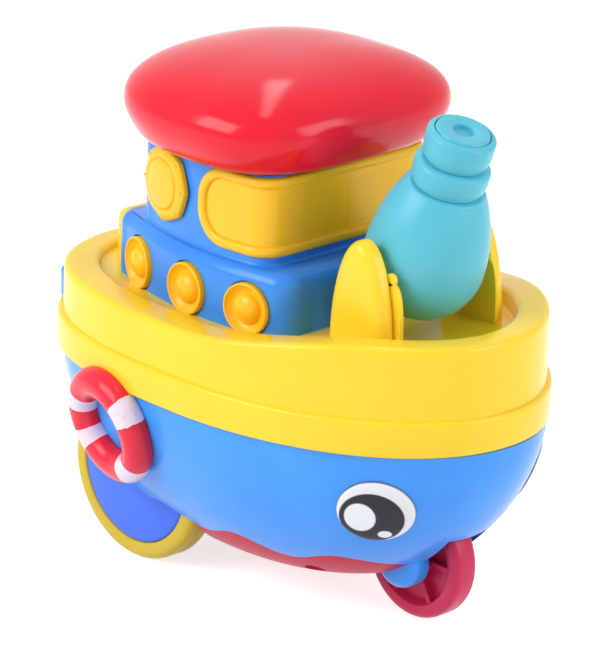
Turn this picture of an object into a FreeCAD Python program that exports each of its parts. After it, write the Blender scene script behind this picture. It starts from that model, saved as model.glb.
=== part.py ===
import FreeCAD, Part
import Sketcher
import math
import os

# Press-and-go toy boat: a deep blue bowl of a hull on three wheels, a yellow deck tub with a sheer,
# a two-tier cabin, and a soft red roof that is pushed down to wind the boat forwards.
# Millimetres. +X is the bow, +Y is port, +Z is up. The origin is on the ground under the middle.

V = FreeCAD.Vector
doc = FreeCAD.newDocument("toy_boat")
sheet = doc.addObject("Spreadsheet::Sheet", "Sizes")

SIZES = {
    # hull bowl and its red keel pan
    "hull_fore": 80.0, "hull_aft": 79.0, "hull_half_beam": 52.6, "hull_base": 7.26, "hull_top": 59.9,
    "wall": 2.0, "keel_edge": 21.4, "keel_wave": 1.9, "keel_wave_pitch": 31.0, "keel_wave_crest": 43.5,
    "boss_radius": 4.5, "boss_top": 24.0, "boss_fore_x": 30.0, "boss_fore_y": 24.0,
    "boss_aft_x": -47.0, "boss_aft_y": 19.5,
    # deck tub
    "band_length": 80.0, "band_half_beam": 54.5, "band_top": 70.3, "band_step": 1.6,
    "rim_low": 84.3, "rim_rise": 7.0, "sheer_run": 60.0, "rim_width_fore": 8.8, "rim_width_side": 11.0,
    "floor_low": 82.0, "floor_rise": 3.3, "floor_underside": 79.8, "cabin_seat": 81.0,
    # cabin
    "lower_fore": 23.4, "lower_aft": -54.0, "lower_half": 36.4, "lower_top": 101.0,
    "upper_fore": 13.1, "upper_aft": -44.5, "upper_half": 32.6, "upper_top": 127.6,
    "side_arc": 105.0, "side_crown": -7.0, "cabin_wall": 2.2,
    # wheels
    "rear_axle_x": -35.0, "rear_axle_z": 26.6, "tyre_radius": 26.6, "disc_radius": 21.5,
    "rear_face": 35.5, "tyre_width": 9.0, "rear_arch": 28.6, "arch_outer": 37.5, "arch_inner": 25.2,
    "front_axle_x": 48.4, "front_radius": 18.3, "front_half_width": 4.3, "front_recess": 13.9,
    "front_arch": 20.8, "front_arch_half": 7.6, "axle_radius": 1.5, "running_gap": 0.06,
    "fork_radius": 7.8, "fork_half": 12.0,
    # roof and its push rod
    "roof_x": -12.3, "roof_fore": 36.9, "roof_aft": 43.5, "roof_half": 44.9, "roof_base": 128.5,
    "roof_widest": 138.5, "roof_height": 15.9, "roof_inset": 4.6, "roof_wall": 1.7, "roof_travel": 8.0,
    "rod_x": -12.3, "rod_side": 10.0, "rod_bottom": 46.0,
    # gear train
    "rack_module": 1.0, "train_module": 0.8, "drive_x": -24.45, "drive_z": 50.0,
    "idler_x": -14.0, "idler_z": 33.9, "clutch_x": -23.6, "clutch_z": 20.0, "plate_inner": 12.0,
    # water cannon between its brackets
    "pivot_x": 44.2, "pivot_z": 105.8, "cannon_lean": 17.7, "cannon_radius": 17.4, "pivot_radius": 2.5,
    "bracket_inner": 18.2,
    # fittings
    "ring_radius": 13.4, "ring_tube": 4.6, "ring_x": -28.5, "ring_y": 50.7, "ring_z": 46.7,
    "eye_radius": 11.0, "eye_x": 59.6, "eye_z": 41.8, "eye_raise": 0.9,
    "port_radius": 7.6, "port_z": 89.1, "big_port_radius": 11.3, "big_port_x": -28.8, "big_port_z": 115.3,
    "box_fore": -54.0, "box_aft": -66.0, "box_half": 18.0, "box_top": 96.0,
}
for row, (name, number) in enumerate(SIZES.items(), start=1):
    sheet.set("A%d" % row, name)
    sheet.set("B%d" % row, str(number))
    sheet.setAlias("B%d" % row, name)
doc.recompute()


def size(name):
    """The sheet's number for a name."""
    return float(sheet.get(name))


parts = []


def feature(label, shape):
    """A sub-part whose form no sketch describes: lofted and swept shells."""
    item = doc.addObject("Part::Feature", label)
    item.Label = label
    item.Shape = shape
    item.Placement = FreeCAD.Placement()
    parts.append(item)
    return item


def new_body(label):
    body = doc.addObject("PartDesign::Body", label)
    body.Label = label
    parts.append(body)
    return body


def plane_of(body, role):
    return [plane for plane in body.Origin.OriginFeatures if plane.Role == role][0]


def outline_sketch(body, role, corners):
    """A closed polygon on one of the body's planes, with every corner tied to the sheet."""
    sketch = body.newObject("Sketcher::SketchObject", body.Name + "_outline")
    sketch.AttachmentSupport = [(plane_of(body, role), "")]
    sketch.MapMode = "FlatFace"
    points = [V(sketch.evalExpression(across), sketch.evalExpression(along), 0) for across, along in corners]
    for start, end in zip(points, points[1:] + points[:1]):
        sketch.addGeometry(Part.LineSegment(start, end))
    count = len(points)
    sketch.addConstraint([Sketcher.Constraint("Coincident", n, 2, (n + 1) % count, 1) for n in range(count)])
    for n, (across, along) in enumerate(corners):
        for kind, text, number in (("DistanceX", across, points[n].x), ("DistanceY", along, points[n].y)):
            index = sketch.addConstraint(Sketcher.Constraint(kind, -1, 1, n, 1, number))
            sketch.setExpression("Constraints[%d]" % index, text)
    return sketch


def turned(body, corners, about="V_Axis", role="XY_Plane"):
    """A revolved solid: corners are (radius, width) pairs about the sketch's axis."""
    sketch = outline_sketch(body, role, corners)
    spin = body.newObject("PartDesign::Revolution", body.Name + "_turned")
    spin.Profile = sketch
    spin.ReferenceAxis = (sketch, [about])
    spin.Angle = 360.0
    return spin


def place(item, x="0", y="0", z="0", rotation=None):
    if rotation:
        item.Placement = FreeCAD.Placement(V(0, 0, 0), rotation)
    for axis, text in (("x", x), ("y", y), ("z", z)):
        item.setExpression("Placement.Base." + axis, text)


# ---------------------------------------------------------------- outlines of the hull, deck and roof
BOW_POWER = 2.05
STERN_POWER = 2.7


def rounded_outline(fore, aft, half, z, bow=BOW_POWER, stern=STERN_POWER, centre=0.0, count=40):
    """A smooth closed outline: a superellipse that is rounder at the bow and squarer at the stern."""
    points = []
    for n in range(count):
        angle = 2 * math.pi * (n + 0.5) / count
        across, along = math.sin(angle), math.cos(angle)
        reach, power = (fore, bow) if along > 0 else (aft, stern)
        points.append(V(centre + reach * math.copysign(abs(along) ** (2 / power), along),
                        half * math.copysign(abs(across) ** (2 / power), across), z))
    curve = Part.BSplineCurve()
    curve.interpolate(points, PeriodicFlag=True)
    return Part.Wire([curve.toShape()])


def prism(wire, height):
    return Part.Face(wire).extrude(V(0, 0, height))


def band_outline(inset, z):
    return rounded_outline(size("band_length") - inset, size("band_length") - inset,
                           size("band_half_beam") - inset, z)


def swept_floor(heights, base=-20.0):
    """Everything below a line z(x), over the whole beam: it cuts sheers and waves."""
    curve = Part.BSplineCurve()
    curve.interpolate([V(x, -80, z) for x, z in heights])
    first, last = heights[0], heights[-1]
    corners = [V(last[0], -80, last[1]), V(last[0], -80, base), V(first[0], -80, base), V(first[0], -80, first[1])]
    edges = [curve.toShape()] + [Part.makeLine(a, b) for a, b in zip(corners, corners[1:])]
    return Part.Face(Part.Wire(Part.__sortEdges__(edges))).extrude(V(0, 160, 0))


def sheer_below(low, rise):
    """Below the deck's sheer: level aft of amidships, then rising in an S to the bow."""
    heights = []
    for x in range(-96, 97, 8):
        run = min(max(x / size("sheer_run"), 0.0), 1.0)
        heights.append((x, low + rise * run * run * (3 - 2 * run)))
    return swept_floor(heights)


def box(x0, x1, y0, y1, z0, z1):
    return Part.makeBox(x1 - x0, y1 - y0, z1 - z0, V(x0, y0, z0))


def rod(radius, x, z, y0, y1):
    """A cylinder along Y."""
    return Part.makeCylinder(radius, y1 - y0, V(x, y0, z), V(0, 1, 0))


def post(radius, x, y, z0, z1):
    return Part.makeCylinder(radius, z1 - z0, V(x, y, z0))


def union(shapes):
    return shapes[0].multiFuse(shapes[1:]).removeSplitter() if len(shapes) > 1 else shapes[0]


# ---------------------------------------------------------------- hull bowl
def bowl_scale(z):
    """How wide the bowl is at height z, as a share of its width at the band."""
    depth = (60.0 - z) / (60.0 - size("hull_base"))
    return (1 - depth ** 1.57) ** (1 / 3.09)


def bowl(offset, levels):
    """The bowl grown by offset all round (negative for the inside)."""
    wires = []
    for z in levels:
        scale = bowl_scale(min(z + offset * 1.0, 59.999))
        wires.append(rounded_outline(size("hull_fore") * scale + offset, size("hull_aft") * scale + offset,
                                     size("hull_half_beam") * scale + offset, z))
    return Part.makeLoft(wires, True, False)


wall = size("wall")
OUTER_LEVELS = (7.6, 8.6, 10.5, 13.5, 18, 24, 32, 42, 51, size("hull_top"))
bowl_outer = bowl(0.0, OUTER_LEVELS)
bowl_inner = bowl(-wall, (9.8, 10.8, 12.6, 15.6, 20, 26, 34, 44, 53, 60.5))

keel_line = [(x, size("keel_edge") + size("keel_wave")
              * math.cos(2 * math.pi * (x - size("keel_wave_crest")) / size("keel_wave_pitch")))
             for x in range(-96, 97, 4)]
below_keel_line = swept_floor(keel_line)

rear_x, rear_z = size("rear_axle_x"), size("rear_axle_z")
front_x, front_z = size("front_axle_x"), size("front_radius")


def rear_arch_slots(radius, inner, outer):
    """Room for both rear wheels, open at the bottom."""
    slots = []
    for side in (-1, 1):
        low, high = sorted((side * inner, side * outer))
        slots.append(rod(radius, rear_x, rear_z, low, high))
        slots.append(box(rear_x - radius, rear_x + radius, low, high, -10, rear_z))
    return slots


front_slot = rod(size("front_arch"), front_x, front_z, -size("front_arch_half"), size("front_arch_half"))
front_slot = front_slot.fuse(box(front_x - size("front_arch"), front_x + size("front_arch"),
                                 -size("front_arch_half"), size("front_arch_half"), -10, front_z))
wheel_room = union(rear_arch_slots(size("rear_arch"), size("arch_inner"), size("arch_outer")) + [front_slot])
bowl_shell = bowl_outer.cut(bowl_inner)

# The fork: two cheeks that carry the front axle, moulded as one piece with a bridge over the wheel.
cheeks = []
for side in (-1, 1):
    low, high = sorted((side * 5.0, side * size("fork_half")))
    cheek = rod(size("fork_radius"), front_x, front_z, low, high)
    outer_edges = [edge for edge in cheek.Edges
                   if abs(abs(edge.BoundBox.YMax) - size("fork_half")) < 0.01
                   and abs(abs(edge.BoundBox.YMin) - size("fork_half")) < 0.01]
    cheek = cheek.makeFillet(3.5, outer_edges)
    cheeks.append(cheek)
    leg_low, leg_high = sorted((side * 5.0, side * (size("fork_half") - 2.5)))
    cheeks.append(box(front_x - 6.5, front_x + 6.5, leg_low, leg_high, front_z, 42))
cheeks.append(box(front_x - 6.5, front_x + 6.5, -9.5, 9.5, 40, 43))
fork_room = union(cheeks)
fork = fork_room.cut(rod(size("axle_radius"), front_x, front_z, -20, 20))

# Screw bosses stand on the keel pan and meet the deck's posts.
boss_places = [(size("boss_fore_x"), side * size("boss_fore_y")) for side in (-1, 1)]
boss_places += [(size("boss_aft_x"), side * size("boss_aft_y")) for side in (-1, 1)]
SCREW_RADIUS = 1.3
HEAD_RADIUS = 2.8
HEAD_SEAT = 19.0
bosses = [post(size("boss_radius"), x, y, 0, size("boss_top")).common(bowl_outer) for x, y in boss_places]
head_wells = [post(HEAD_RADIUS + 0.3, x, y, 0, HEAD_SEAT) for x, y in boss_places]
screw_holes = [post(SCREW_RADIUS, x, y, 0, size("boss_top") + 12) for x, y in boss_places]

keel = bowl_shell.common(below_keel_line)
keel = union([keel] + bosses)
for tool in head_wells + screw_holes + [wheel_room, fork_room]:
    keel = keel.cut(tool)
feature("keel_pan", max(keel.Solids, key=lambda solid: solid.Volume))

hull = bowl_shell.cut(below_keel_line)
for tool in bosses + screw_holes + [wheel_room, fork_room]:
    hull = hull.cut(tool)

# The lifebuoys are pressed on to the hull's sides, so their backs take the hull's curve.
ring_room = bowl_outer.fuse(prism(band_outline(0, size("hull_top")), 12))
rings = {}
for side, name in ((-1, "starboard"), (1, "port")):
    normal = V(-0.151, side * 1.0, -0.26)
    normal.normalize()
    centre = V(size("ring_x"), side * size("ring_y"), size("ring_z"))
    ring = Part.makeTorus(size("ring_radius"), size("ring_tube"), centre, normal)
    rings[name] = ring.cut(ring_room)

# Each eye is a thin domed disc let into the bow.
eye_skin = bowl(size("eye_raise"), (9, 12, 18, 24, 32, 42, 51, 59.0))
eyes = {}
for side, name in ((-1, "starboard"), (1, "port")):
    normal = V(0.62, side * 1.0, -0.42)
    normal.normalize()
    centre = V(size("eye_x"), side * 30.9, size("eye_z"))
    disc = Part.makeCylinder(size("eye_radius"), 14, centre - normal * 7, normal)
    eyes[name] = disc.common(eye_skin).cut(bowl_outer)

feature("hull_shell", max(hull.Solids, key=lambda solid: solid.Volume))
feature("front_fork", max(fork.Solids, key=lambda solid: solid.Volume))
for name in ("starboard", "port"):
    feature("lifebuoy_" + name, max(rings[name].Solids, key=lambda solid: solid.Volume))
    feature("eye_" + name, max(eyes[name].Solids, key=lambda solid: solid.Volume))

# Arch liners close the hull round the upper half of each rear wheel.
for side, name in ((-1, "starboard"), (1, "port")):
    low, high = sorted((side * (size("arch_inner") - 1.2), side * size("arch_outer")))
    liner = rod(size("rear_arch") + 1.2, rear_x, rear_z, low, high)
    inner_low, inner_high = sorted((side * size("arch_inner"), side * (size("arch_outer") + 5)))
    liner = liner.cut(rod(size("rear_arch"), rear_x, rear_z, inner_low, inner_high))
    liner = liner.cut(rod(size("axle_radius") + 3.0, rear_x, rear_z, -60, 60))
    liner = liner.common(bowl_inner).cut(box(-90, 30, -60, 60, 0, 25.5))
    feature("arch_liner_" + name, max(liner.Solids, key=lambda solid: solid.Volume))


# ---------------------------------------------------------------- deck tub
hull_top, band_top = size("hull_top"), size("band_top")
step = size("band_step")


def well_outline(grow, z):
    """The inner edge of the rim, or the same edge grown outwards by grow."""
    reach = size("band_length") - step - size("rim_width_fore") + grow
    half = size("band_half_beam") - step - size("rim_width_side") + grow
    return rounded_outline(reach, reach, half, z)


side_arc, side_crown = size("side_arc"), size("side_crown")


def tier_outline(fore, aft, half, z, inset=0.0):
    """A cabin tier seen from above: square ends and gently bowed sides."""
    fore, aft, half = fore - inset, aft + inset, half - inset

    def side_y(x):
        return half - (x - side_crown) ** 2 / (2 * side_arc)
    starboard = Part.Arc(V(aft, -side_y(aft), z), V(side_crown, -half, z), V(fore, -side_y(fore), z))
    port = Part.Arc(V(fore, side_y(fore), z), V(side_crown, half, z), V(aft, side_y(aft), z))
    bow = Part.makeLine(V(fore, -side_y(fore), z), V(fore, side_y(fore), z))
    stern = Part.makeLine(V(aft, side_y(aft), z), V(aft, -side_y(aft), z))
    return Part.Wire([starboard.toShape(), bow, port.toShape(), stern])


def tier_block(prefix, z0, z1, inset, fore_round, aft_round):
    """A solid tier with its four upright corners rounded."""
    fore, aft, half = size(prefix + "_fore"), size(prefix + "_aft"), size(prefix + "_half")
    block = prism(tier_outline(fore, aft, half, z0, inset), z1 - z0)
    for end, radius in ((fore - inset, fore_round), (aft + inset, aft_round)):
        uprights = [edge for edge in block.Edges
                    if edge.BoundBox.XLength < 0.01 and edge.BoundBox.YLength < 0.01
                    and abs(edge.BoundBox.XMin - end) < 0.01]
        block = block.makeFillet(radius, uprights)
    return block


def lower_block(z0, z1, inset=0.0):
    return tier_block("lower", z0, z1, inset, 8.0 - inset, 5.0 - inset * 0.9)


def upper_block(z0, z1, inset=0.0):
    return tier_block("upper", z0, z1, inset, 7.5 - inset, 6.5 - inset)


def on_side(x, half, side):
    """A point on a tier's bowed side, with the way that it faces."""
    y = half - (x - side_crown) ** 2 / (2 * side_arc)
    facing = V((x - side_crown) / side_arc, 1.0, 0)
    facing.normalize()
    return y * side, V(facing.x, facing.y * side, 0)


PORT_SINK = 1.2
PORT_GAP = 0.4
port_places = []
big_places = []
for side, name in ((-1, "starboard"), (1, "port")):
    for x, which in ((-38.7, "aft"), (-13.6, "middle"), (10.0, "fore")):
        y, facing = on_side(x, size("lower_half"), side)
        port_places.append(("porthole_%s_%s" % (which, name), V(x, y, size("port_z")), facing))
    y, facing = on_side(size("big_port_x"), size("upper_half"), side)
    big_places.append(("big_porthole_" + name, V(size("big_port_x"), y, size("big_port_z")), facing))
port_rooms = [Part.makeCylinder(size("port_radius") + PORT_GAP, 6, centre - facing * PORT_SINK, facing)
              for label, centre, facing in port_places]

CORE_HALF = 19.0
core_hole = box(-40, 10, -CORE_HALF, CORE_HALF, 60, 90)
tub = prism(band_outline(0, hull_top), band_top - hull_top)
tub = tub.fuse(prism(band_outline(step, band_top), 30).common(sheer_below(size("rim_low"), size("rim_rise"))))
well = prism(well_outline(0, 76), 40).cut(sheer_below(size("floor_low"), size("floor_rise")))
hold = prism(band_outline(step + wall, hull_top), size("floor_underside") - hull_top)
rim_hollow = prism(band_outline(step + wall, 76), 30).cut(prism(well_outline(wall, 76), 30))
rim_hollow = rim_hollow.common(sheer_below(size("rim_low") - wall, size("rim_rise")))
tub = tub.cut(well).cut(hold).cut(rim_hollow).cut(lower_block(size("cabin_seat"), 110)).cut(core_hole)

# Posts under the deck come down on to the keel's bosses; screws from below draw the whole boat together.
for x, y in boss_places:
    tub = tub.fuse(post(4.0, x, y, size("boss_top"), size("floor_underside")))
for hole in screw_holes:
    tub = tub.cut(hole)

# Cabin bosses stand in the corners of the lower tier and are screwed from under the deck.
cabin_screw_places = [(16.0, side * 25.0) for side in (-1, 1)] + [(-36.0, side * 25.0) for side in (-1, 1)]
cabin_pilots = [post(SCREW_RADIUS, x, y, 70, size("cabin_seat") + 8) for x, y in cabin_screw_places]
for pilot in cabin_pilots:
    tub = tub.cut(pilot)

# Two slots in the deck take the tabs of the cannon brackets.
bracket_y = size("bracket_inner")
bracket_tabs = {side: box(size("pivot_x") - 5, size("pivot_x") + 5, *sorted((side * (bracket_y + 1.6),
                side * (bracket_y + 4.4))), 80.0, 88.0) for side in (-1, 1)}
for room in list(bracket_tabs.values()) + port_rooms:
    tub = tub.cut(room)
tub = max(tub.Solids, key=lambda solid: solid.Volume)
feature("deck_tub", tub)

# A soft-looking fender wraps the stern above the band.
fender = prism(band_outline(0, band_top), 9.0).cut(prism(band_outline(step, band_top - 1), 12))
fender = fender.common(box(-90, -60, -36, 36, band_top, band_top + 9.0))
feature("stern_fender", max(fender.Solids, key=lambda solid: solid.Volume))

# ---------------------------------------------------------------- cabin, in two halves joined on the centre plane
seat, lower_top, upper_top = size("cabin_seat"), size("lower_top"), size("upper_top")
skin = size("cabin_wall")
lower = lower_block(seat, lower_top)
top_edges = [edge for edge in lower.Edges if edge.BoundBox.ZMin > lower_top - 0.01]
lower = lower.makeFillet(4.4, top_edges)
cabin = lower.fuse(upper_block(lower_top - 1, upper_top))
cabin = cabin.cut(lower_block(seat - 1, lower_top - skin, skin)).cut(upper_block(lower_top - 4, upper_top - skin, skin))
for x, y in cabin_screw_places:
    cabin = cabin.fuse(post(3.2, x, y, seat, seat + 12).common(lower))
for pilot in cabin_pilots:
    cabin = cabin.cut(pilot)
rod_half = size("rod_side") / 2
rod_x = size("rod_x")
ROD_GAP = 0.35
cabin = cabin.cut(box(rod_x - rod_half - ROD_GAP, rod_x + rod_half + ROD_GAP,
                      -rod_half - ROD_GAP, rod_half + ROD_GAP, 110, 140))


for room in port_rooms:
    cabin = cabin.cut(room)
for label, centre, facing in big_places:
    cabin = cabin.cut(Part.makeCylinder(3.0, 20, centre - facing * 10, facing))

# The window frame wraps round the front of the upper tier in a shallow recess.
WINDOW_LOW, WINDOW_HIGH = 103.2, 126.6
WINDOW_AFT = -12.4
WINDOW_BEAD = 3.2
WINDOW_SINK = 0.8
WINDOW_PROUD = 1.5


def window_field(low, high, aft, corner):
    """A block across the boat whose side view is the window: square in front, rounded behind."""
    block = box(aft, 40, -60, 60, low, high)
    ends = [edge for edge in block.Edges if edge.BoundBox.XLength < 0.01 and edge.BoundBox.ZLength < 0.01
            and abs(edge.BoundBox.XMin - aft) < 0.01]
    return block.makeFillet(corner, ends)


window_room = window_field(WINDOW_LOW, WINDOW_HIGH, WINDOW_AFT, 10.5)
upper_sunk = upper_block(lower_top, upper_top, WINDOW_SINK)
cabin = cabin.cut(window_room.cut(upper_sunk))
for side, name in ((-1, "starboard"), (1, "port")):
    half = cabin.common(box(-80, 60, *sorted((0, side * 60)), 60, 140))
    feature("cabin_" + name, max(half.Solids, key=lambda solid: solid.Volume))

frame_body = upper_block(lower_top, upper_top, -WINDOW_PROUD).cut(upper_sunk).common(window_room)
pane_room = window_field(WINDOW_LOW + WINDOW_BEAD, WINDOW_HIGH - WINDOW_BEAD, WINDOW_AFT + WINDOW_BEAD, 7.3)
frame_body = frame_body.cut(pane_room.cut(upper_block(lower_top, upper_top, -0.3)))
for side, name in ((-1, "starboard"), (1, "port")):
    half = frame_body.common(box(-80, 60, *sorted((0, side * 60)), 60, 140))
    feature("window_" + name, max(half.Solids, key=lambda solid: solid.Volume))


# ---------------------------------------------------------------- portholes, turned about their own centre lines
def face_along(direction):
    """The turn that points a part's own Y axis along a direction."""
    return FreeCAD.Rotation(V(0, 1, 0), direction)


for label, centre, facing in port_places:
    body = new_body(label)
    turned(body, [("0", "0"), ("Sizes.port_radius", "0"), ("Sizes.port_radius", "2.1"),
                  ("Sizes.port_radius - 0.4", "2.5"), ("Sizes.port_radius - 0.9", "2.4"),
                  ("Sizes.port_radius * 0.6", "0.8"), ("Sizes.port_radius * 0.52", "1.9"),
                  ("Sizes.port_radius * 0.32", "2.8"), ("0", "3.1")])
    body.Placement = FreeCAD.Placement(centre - facing * PORT_SINK, face_along(facing))

# Eight small lugs give the big porthole its scalloped flange.
LUG_INSET, LUG_RADIUS = 1.9, 1.7
for label, centre, facing in big_places:
    body = new_body(label)
    turned(body, [("0", "0"), ("Sizes.big_port_radius * 0.955", "0"), ("Sizes.big_port_radius * 0.955", "1.3"),
                  ("Sizes.big_port_radius * 0.91", "1.7"), ("Sizes.big_port_radius * 0.69", "2.3"),
                  ("Sizes.big_port_radius * 0.66", "2.0"), ("Sizes.big_port_radius * 0.62", "2.5"), ("0", "2.9")])
    lug = body.newObject("Sketcher::SketchObject", body.Name + "_lug")
    lug.AttachmentSupport = [(plane_of(body, "XZ_Plane"), "")]
    lug.MapMode = "FlatFace"
    lug.addGeometry(Part.Circle(V(size("big_port_radius") - LUG_INSET, 0, 0), V(0, 0, 1), LUG_RADIUS))
    lug.addConstraint(Sketcher.Constraint("PointOnObject", 0, 3, -1))
    index = lug.addConstraint(Sketcher.Constraint("DistanceX", -1, 1, 0, 3, size("big_port_radius") - LUG_INSET))
    lug.setExpression("Constraints[%d]" % index, "Sizes.big_port_radius - %g" % LUG_INSET)
    lug.addConstraint(Sketcher.Constraint("Radius", 0, LUG_RADIUS))
    pad = body.newObject("PartDesign::Pad", body.Name + "_lugs")
    pad.Profile = lug
    pad.Length = 1.6
    pad.Reversed = True
    ring = body.newObject("PartDesign::PolarPattern", body.Name + "_ring")
    ring.Originals = [pad]
    ring.Axis = (lug, ["N_Axis"])
    ring.Angle = 360
    ring.Occurrences = 8
    body.Tip = ring
    body.Placement = FreeCAD.Placement(centre + facing * 0.1, face_along(facing))

# ---------------------------------------------------------------- roof: a hollow cushion that is pressed down
ROOF_BOW = 3.13
ROOF_STERN = 2.4
ROOF_ROUND = 2.32


def cushion(thin, sides, crowns):
    """The roof's rounded block, made smaller all round by thin."""
    wires = []
    widest, height = size("roof_widest"), size("roof_height")
    for drop, inset in sides:
        wires.append(rounded_outline(size("roof_fore") - inset - thin, size("roof_aft") - inset - thin,
                                     size("roof_half") - inset - thin, widest - drop,
                                     ROOF_BOW, ROOF_STERN, size("roof_x")))
    for degrees in crowns:
        angle = math.radians(degrees)
        reach = math.cos(angle) ** (2 / ROOF_ROUND)
        wires.append(rounded_outline((size("roof_fore") - thin) * reach, (size("roof_aft") - thin) * reach,
                                     (size("roof_half") - thin) * reach,
                                     widest + (height - thin) * math.sin(angle) ** (2 / ROOF_ROUND),
                                     ROOF_BOW, ROOF_STERN, size("roof_x")))
    return Part.makeLoft(wires, True, False)


inset = size("roof_inset")
drop = size("roof_widest") - size("roof_base")
ROOF_CROWNS = (0, 16, 32, 46, 58, 68, 77, 84)
roof = cushion(0.0, ((drop, inset), (drop * 0.85, inset * 0.72), (drop * 0.5, inset * 0.26)), ROOF_CROWNS)
roof_room = cushion(size("roof_wall"), ((drop + 1, inset * 0.85), (drop * 0.85, inset * 0.7), (drop * 0.5, inset * 0.3)),
                    ROOF_CROWNS)
SOCKET_LOW, ROD_TOP = 139.5, 148.0
socket = box(rod_x - rod_half - 2, rod_x + rod_half + 2, -rod_half - 2, rod_half + 2, SOCKET_LOW, 153)
rod_room = box(rod_x - rod_half, rod_x + rod_half, -rod_half, rod_half, SOCKET_LOW - 1, ROD_TOP)
roof = roof.cut(roof_room).fuse(socket.common(roof)).cut(rod_room)
feature("roof_cap", max(roof.Solids, key=lambda solid: solid.Volume))

# The square push rod hangs from the roof, and its aft face carries the rack.
drive_x, drive_z = size("drive_x"), size("drive_z")
rack_pitch = math.pi * size("rack_module")
rod_solid = box(rod_x - rod_half, rod_x + rod_half, -rod_half, rod_half, size("rod_bottom"), ROD_TOP)
RACK_HALF_WIDTH = 4.0
RACK_TEETH = 6
rack_root = rod_x - rod_half
for n in range(RACK_TEETH):
    middle = drive_z + rack_pitch * (n - 0.5)
    profile = [V(rack_root + 0.3, 0, middle - 1.0), V(rack_root - 2.05, 0, middle - 0.36),
               V(rack_root - 2.05, 0, middle + 0.36), V(rack_root + 0.3, 0, middle + 1.0)]
    tooth = Part.Face(Part.makePolygon(profile + profile[:1])).extrude(V(0, 2 * RACK_HALF_WIDTH, 0))
    tooth.translate(V(0, -RACK_HALF_WIDTH, 0))
    rod_solid = rod_solid.fuse(tooth)
feature("push_rod", rod_solid.removeSplitter())

# The return spring's wire is drawn with eight flats.
SPRING_WIRE, SPRING_RADIUS, SPRING_TURNS = 0.5, 8.2, 4
spring_length = SOCKET_LOW - size("upper_top") - 2 * SPRING_WIRE - 0.1
helix = Part.makeHelix(spring_length / SPRING_TURNS, spring_length, SPRING_RADIUS)
flats = [V(SPRING_RADIUS + SPRING_WIRE * math.cos(math.pi * (n + 0.5) / 4), 0,
           SPRING_WIRE * math.sin(math.pi * (n + 0.5) / 4)) for n in range(8)]
spring = Part.Wire(helix.Edges).makePipeShell([Part.makePolygon(flats + flats[:1])], True, True)
spring_foot = FreeCAD.Placement(V(rod_x, 0, size("upper_top") + SPRING_WIRE + 0.05), FreeCAD.Rotation())
feature("return_spring", spring.transformed(spring_foot.toMatrix(), copy=True))


# ---------------------------------------------------------------- gear train
def gear(teeth, module, x, z, y0, y1, first_tooth):
    """A spur gear across the boat; first_tooth is one tooth's angle from +X towards +Z, in radians."""
    pitch_radius = teeth * module / 2
    step_angle = 2 * math.pi / teeth
    shape = ((pitch_radius - 1.15 * module, 0.31), (pitch_radius, 0.205), (pitch_radius + 0.85 * module, 0.09))
    corners = []
    for n in range(teeth):
        middle = first_tooth + n * step_angle
        flank = [(radius, middle - share * step_angle) for radius, share in shape]
        flank += [(radius, middle + share * step_angle) for radius, share in reversed(shape)]
        corners += [V(x + radius * math.cos(angle), y0, z + radius * math.sin(angle)) for radius, angle in flank]
    return Part.Face(Part.makePolygon(corners + corners[:1])).extrude(V(0, y1 - y0, 0))


RACK_PINION_TEETH, DRIVE_TEETH, IDLER_PINION_TEETH, IDLER_TEETH, CLUTCH_TEETH, AXLE_TEETH = 12, 36, 12, 30, 12, 15
PORT_LANE, STARBOARD_LANE = (5.6, 8.8), (-9.0, -5.8)
module = size("train_module")
idler_x, idler_z = size("idler_x"), size("idler_z")
clutch_x, clutch_z = size("clutch_x"), size("clutch_z")
bore = size("axle_radius") + size("running_gap")
plate_inner = size("plate_inner")
SHAFT_END = plate_inner + 2.0
CLUTCH_SHAFT = 1.0

to_idler = math.atan2(idler_z - drive_z, idler_x - drive_x)
to_clutch = math.atan2(clutch_z - idler_z, clutch_x - idler_x)
drive = union([gear(RACK_PINION_TEETH, size("rack_module"), drive_x, drive_z, -4.5, 5.6, 0.0),
               gear(DRIVE_TEETH, module, drive_x, drive_z, PORT_LANE[0], PORT_LANE[1], to_idler),
               rod(3.2, drive_x, drive_z, -plate_inner + 0.4, plate_inner - 0.4)])
feature("drive_gear", drive.cut(rod(bore, drive_x, drive_z, -20, 20)))
idler = union([gear(IDLER_PINION_TEETH, module, idler_x, idler_z, PORT_LANE[0], PORT_LANE[1],
                    to_idler + math.pi + math.pi / IDLER_PINION_TEETH),
               gear(IDLER_TEETH, module, idler_x, idler_z, STARBOARD_LANE[0], STARBOARD_LANE[1], to_clutch),
               rod(2.4, idler_x, idler_z, -plate_inner + 0.4, plate_inner - 0.4)])
feature("idler_gear", idler.cut(rod(bore, idler_x, idler_z, -20, 20)))
clutch = union([gear(CLUTCH_TEETH, module, clutch_x, clutch_z, STARBOARD_LANE[0], STARBOARD_LANE[1],
                     to_clutch + math.pi + math.pi / CLUTCH_TEETH),
                rod(2.2, clutch_x, clutch_z, -plate_inner + 0.4, plate_inner - 0.4)])
feature("clutch_gear", clutch.cut(rod(CLUTCH_SHAFT + size("running_gap"), clutch_x, clutch_z, -20, 20)))
axle_gear = gear(AXLE_TEETH, module, rear_x, rear_z, STARBOARD_LANE[0], STARBOARD_LANE[1], 0.0)
axle_gear = axle_gear.fuse(rod(3.0, rear_x, rear_z, -plate_inner + 0.4, plate_inner - 0.4))
feature("axle_gear", axle_gear.cut(rod(size("axle_radius"), rear_x, rear_z, -40, 40)))


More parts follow.
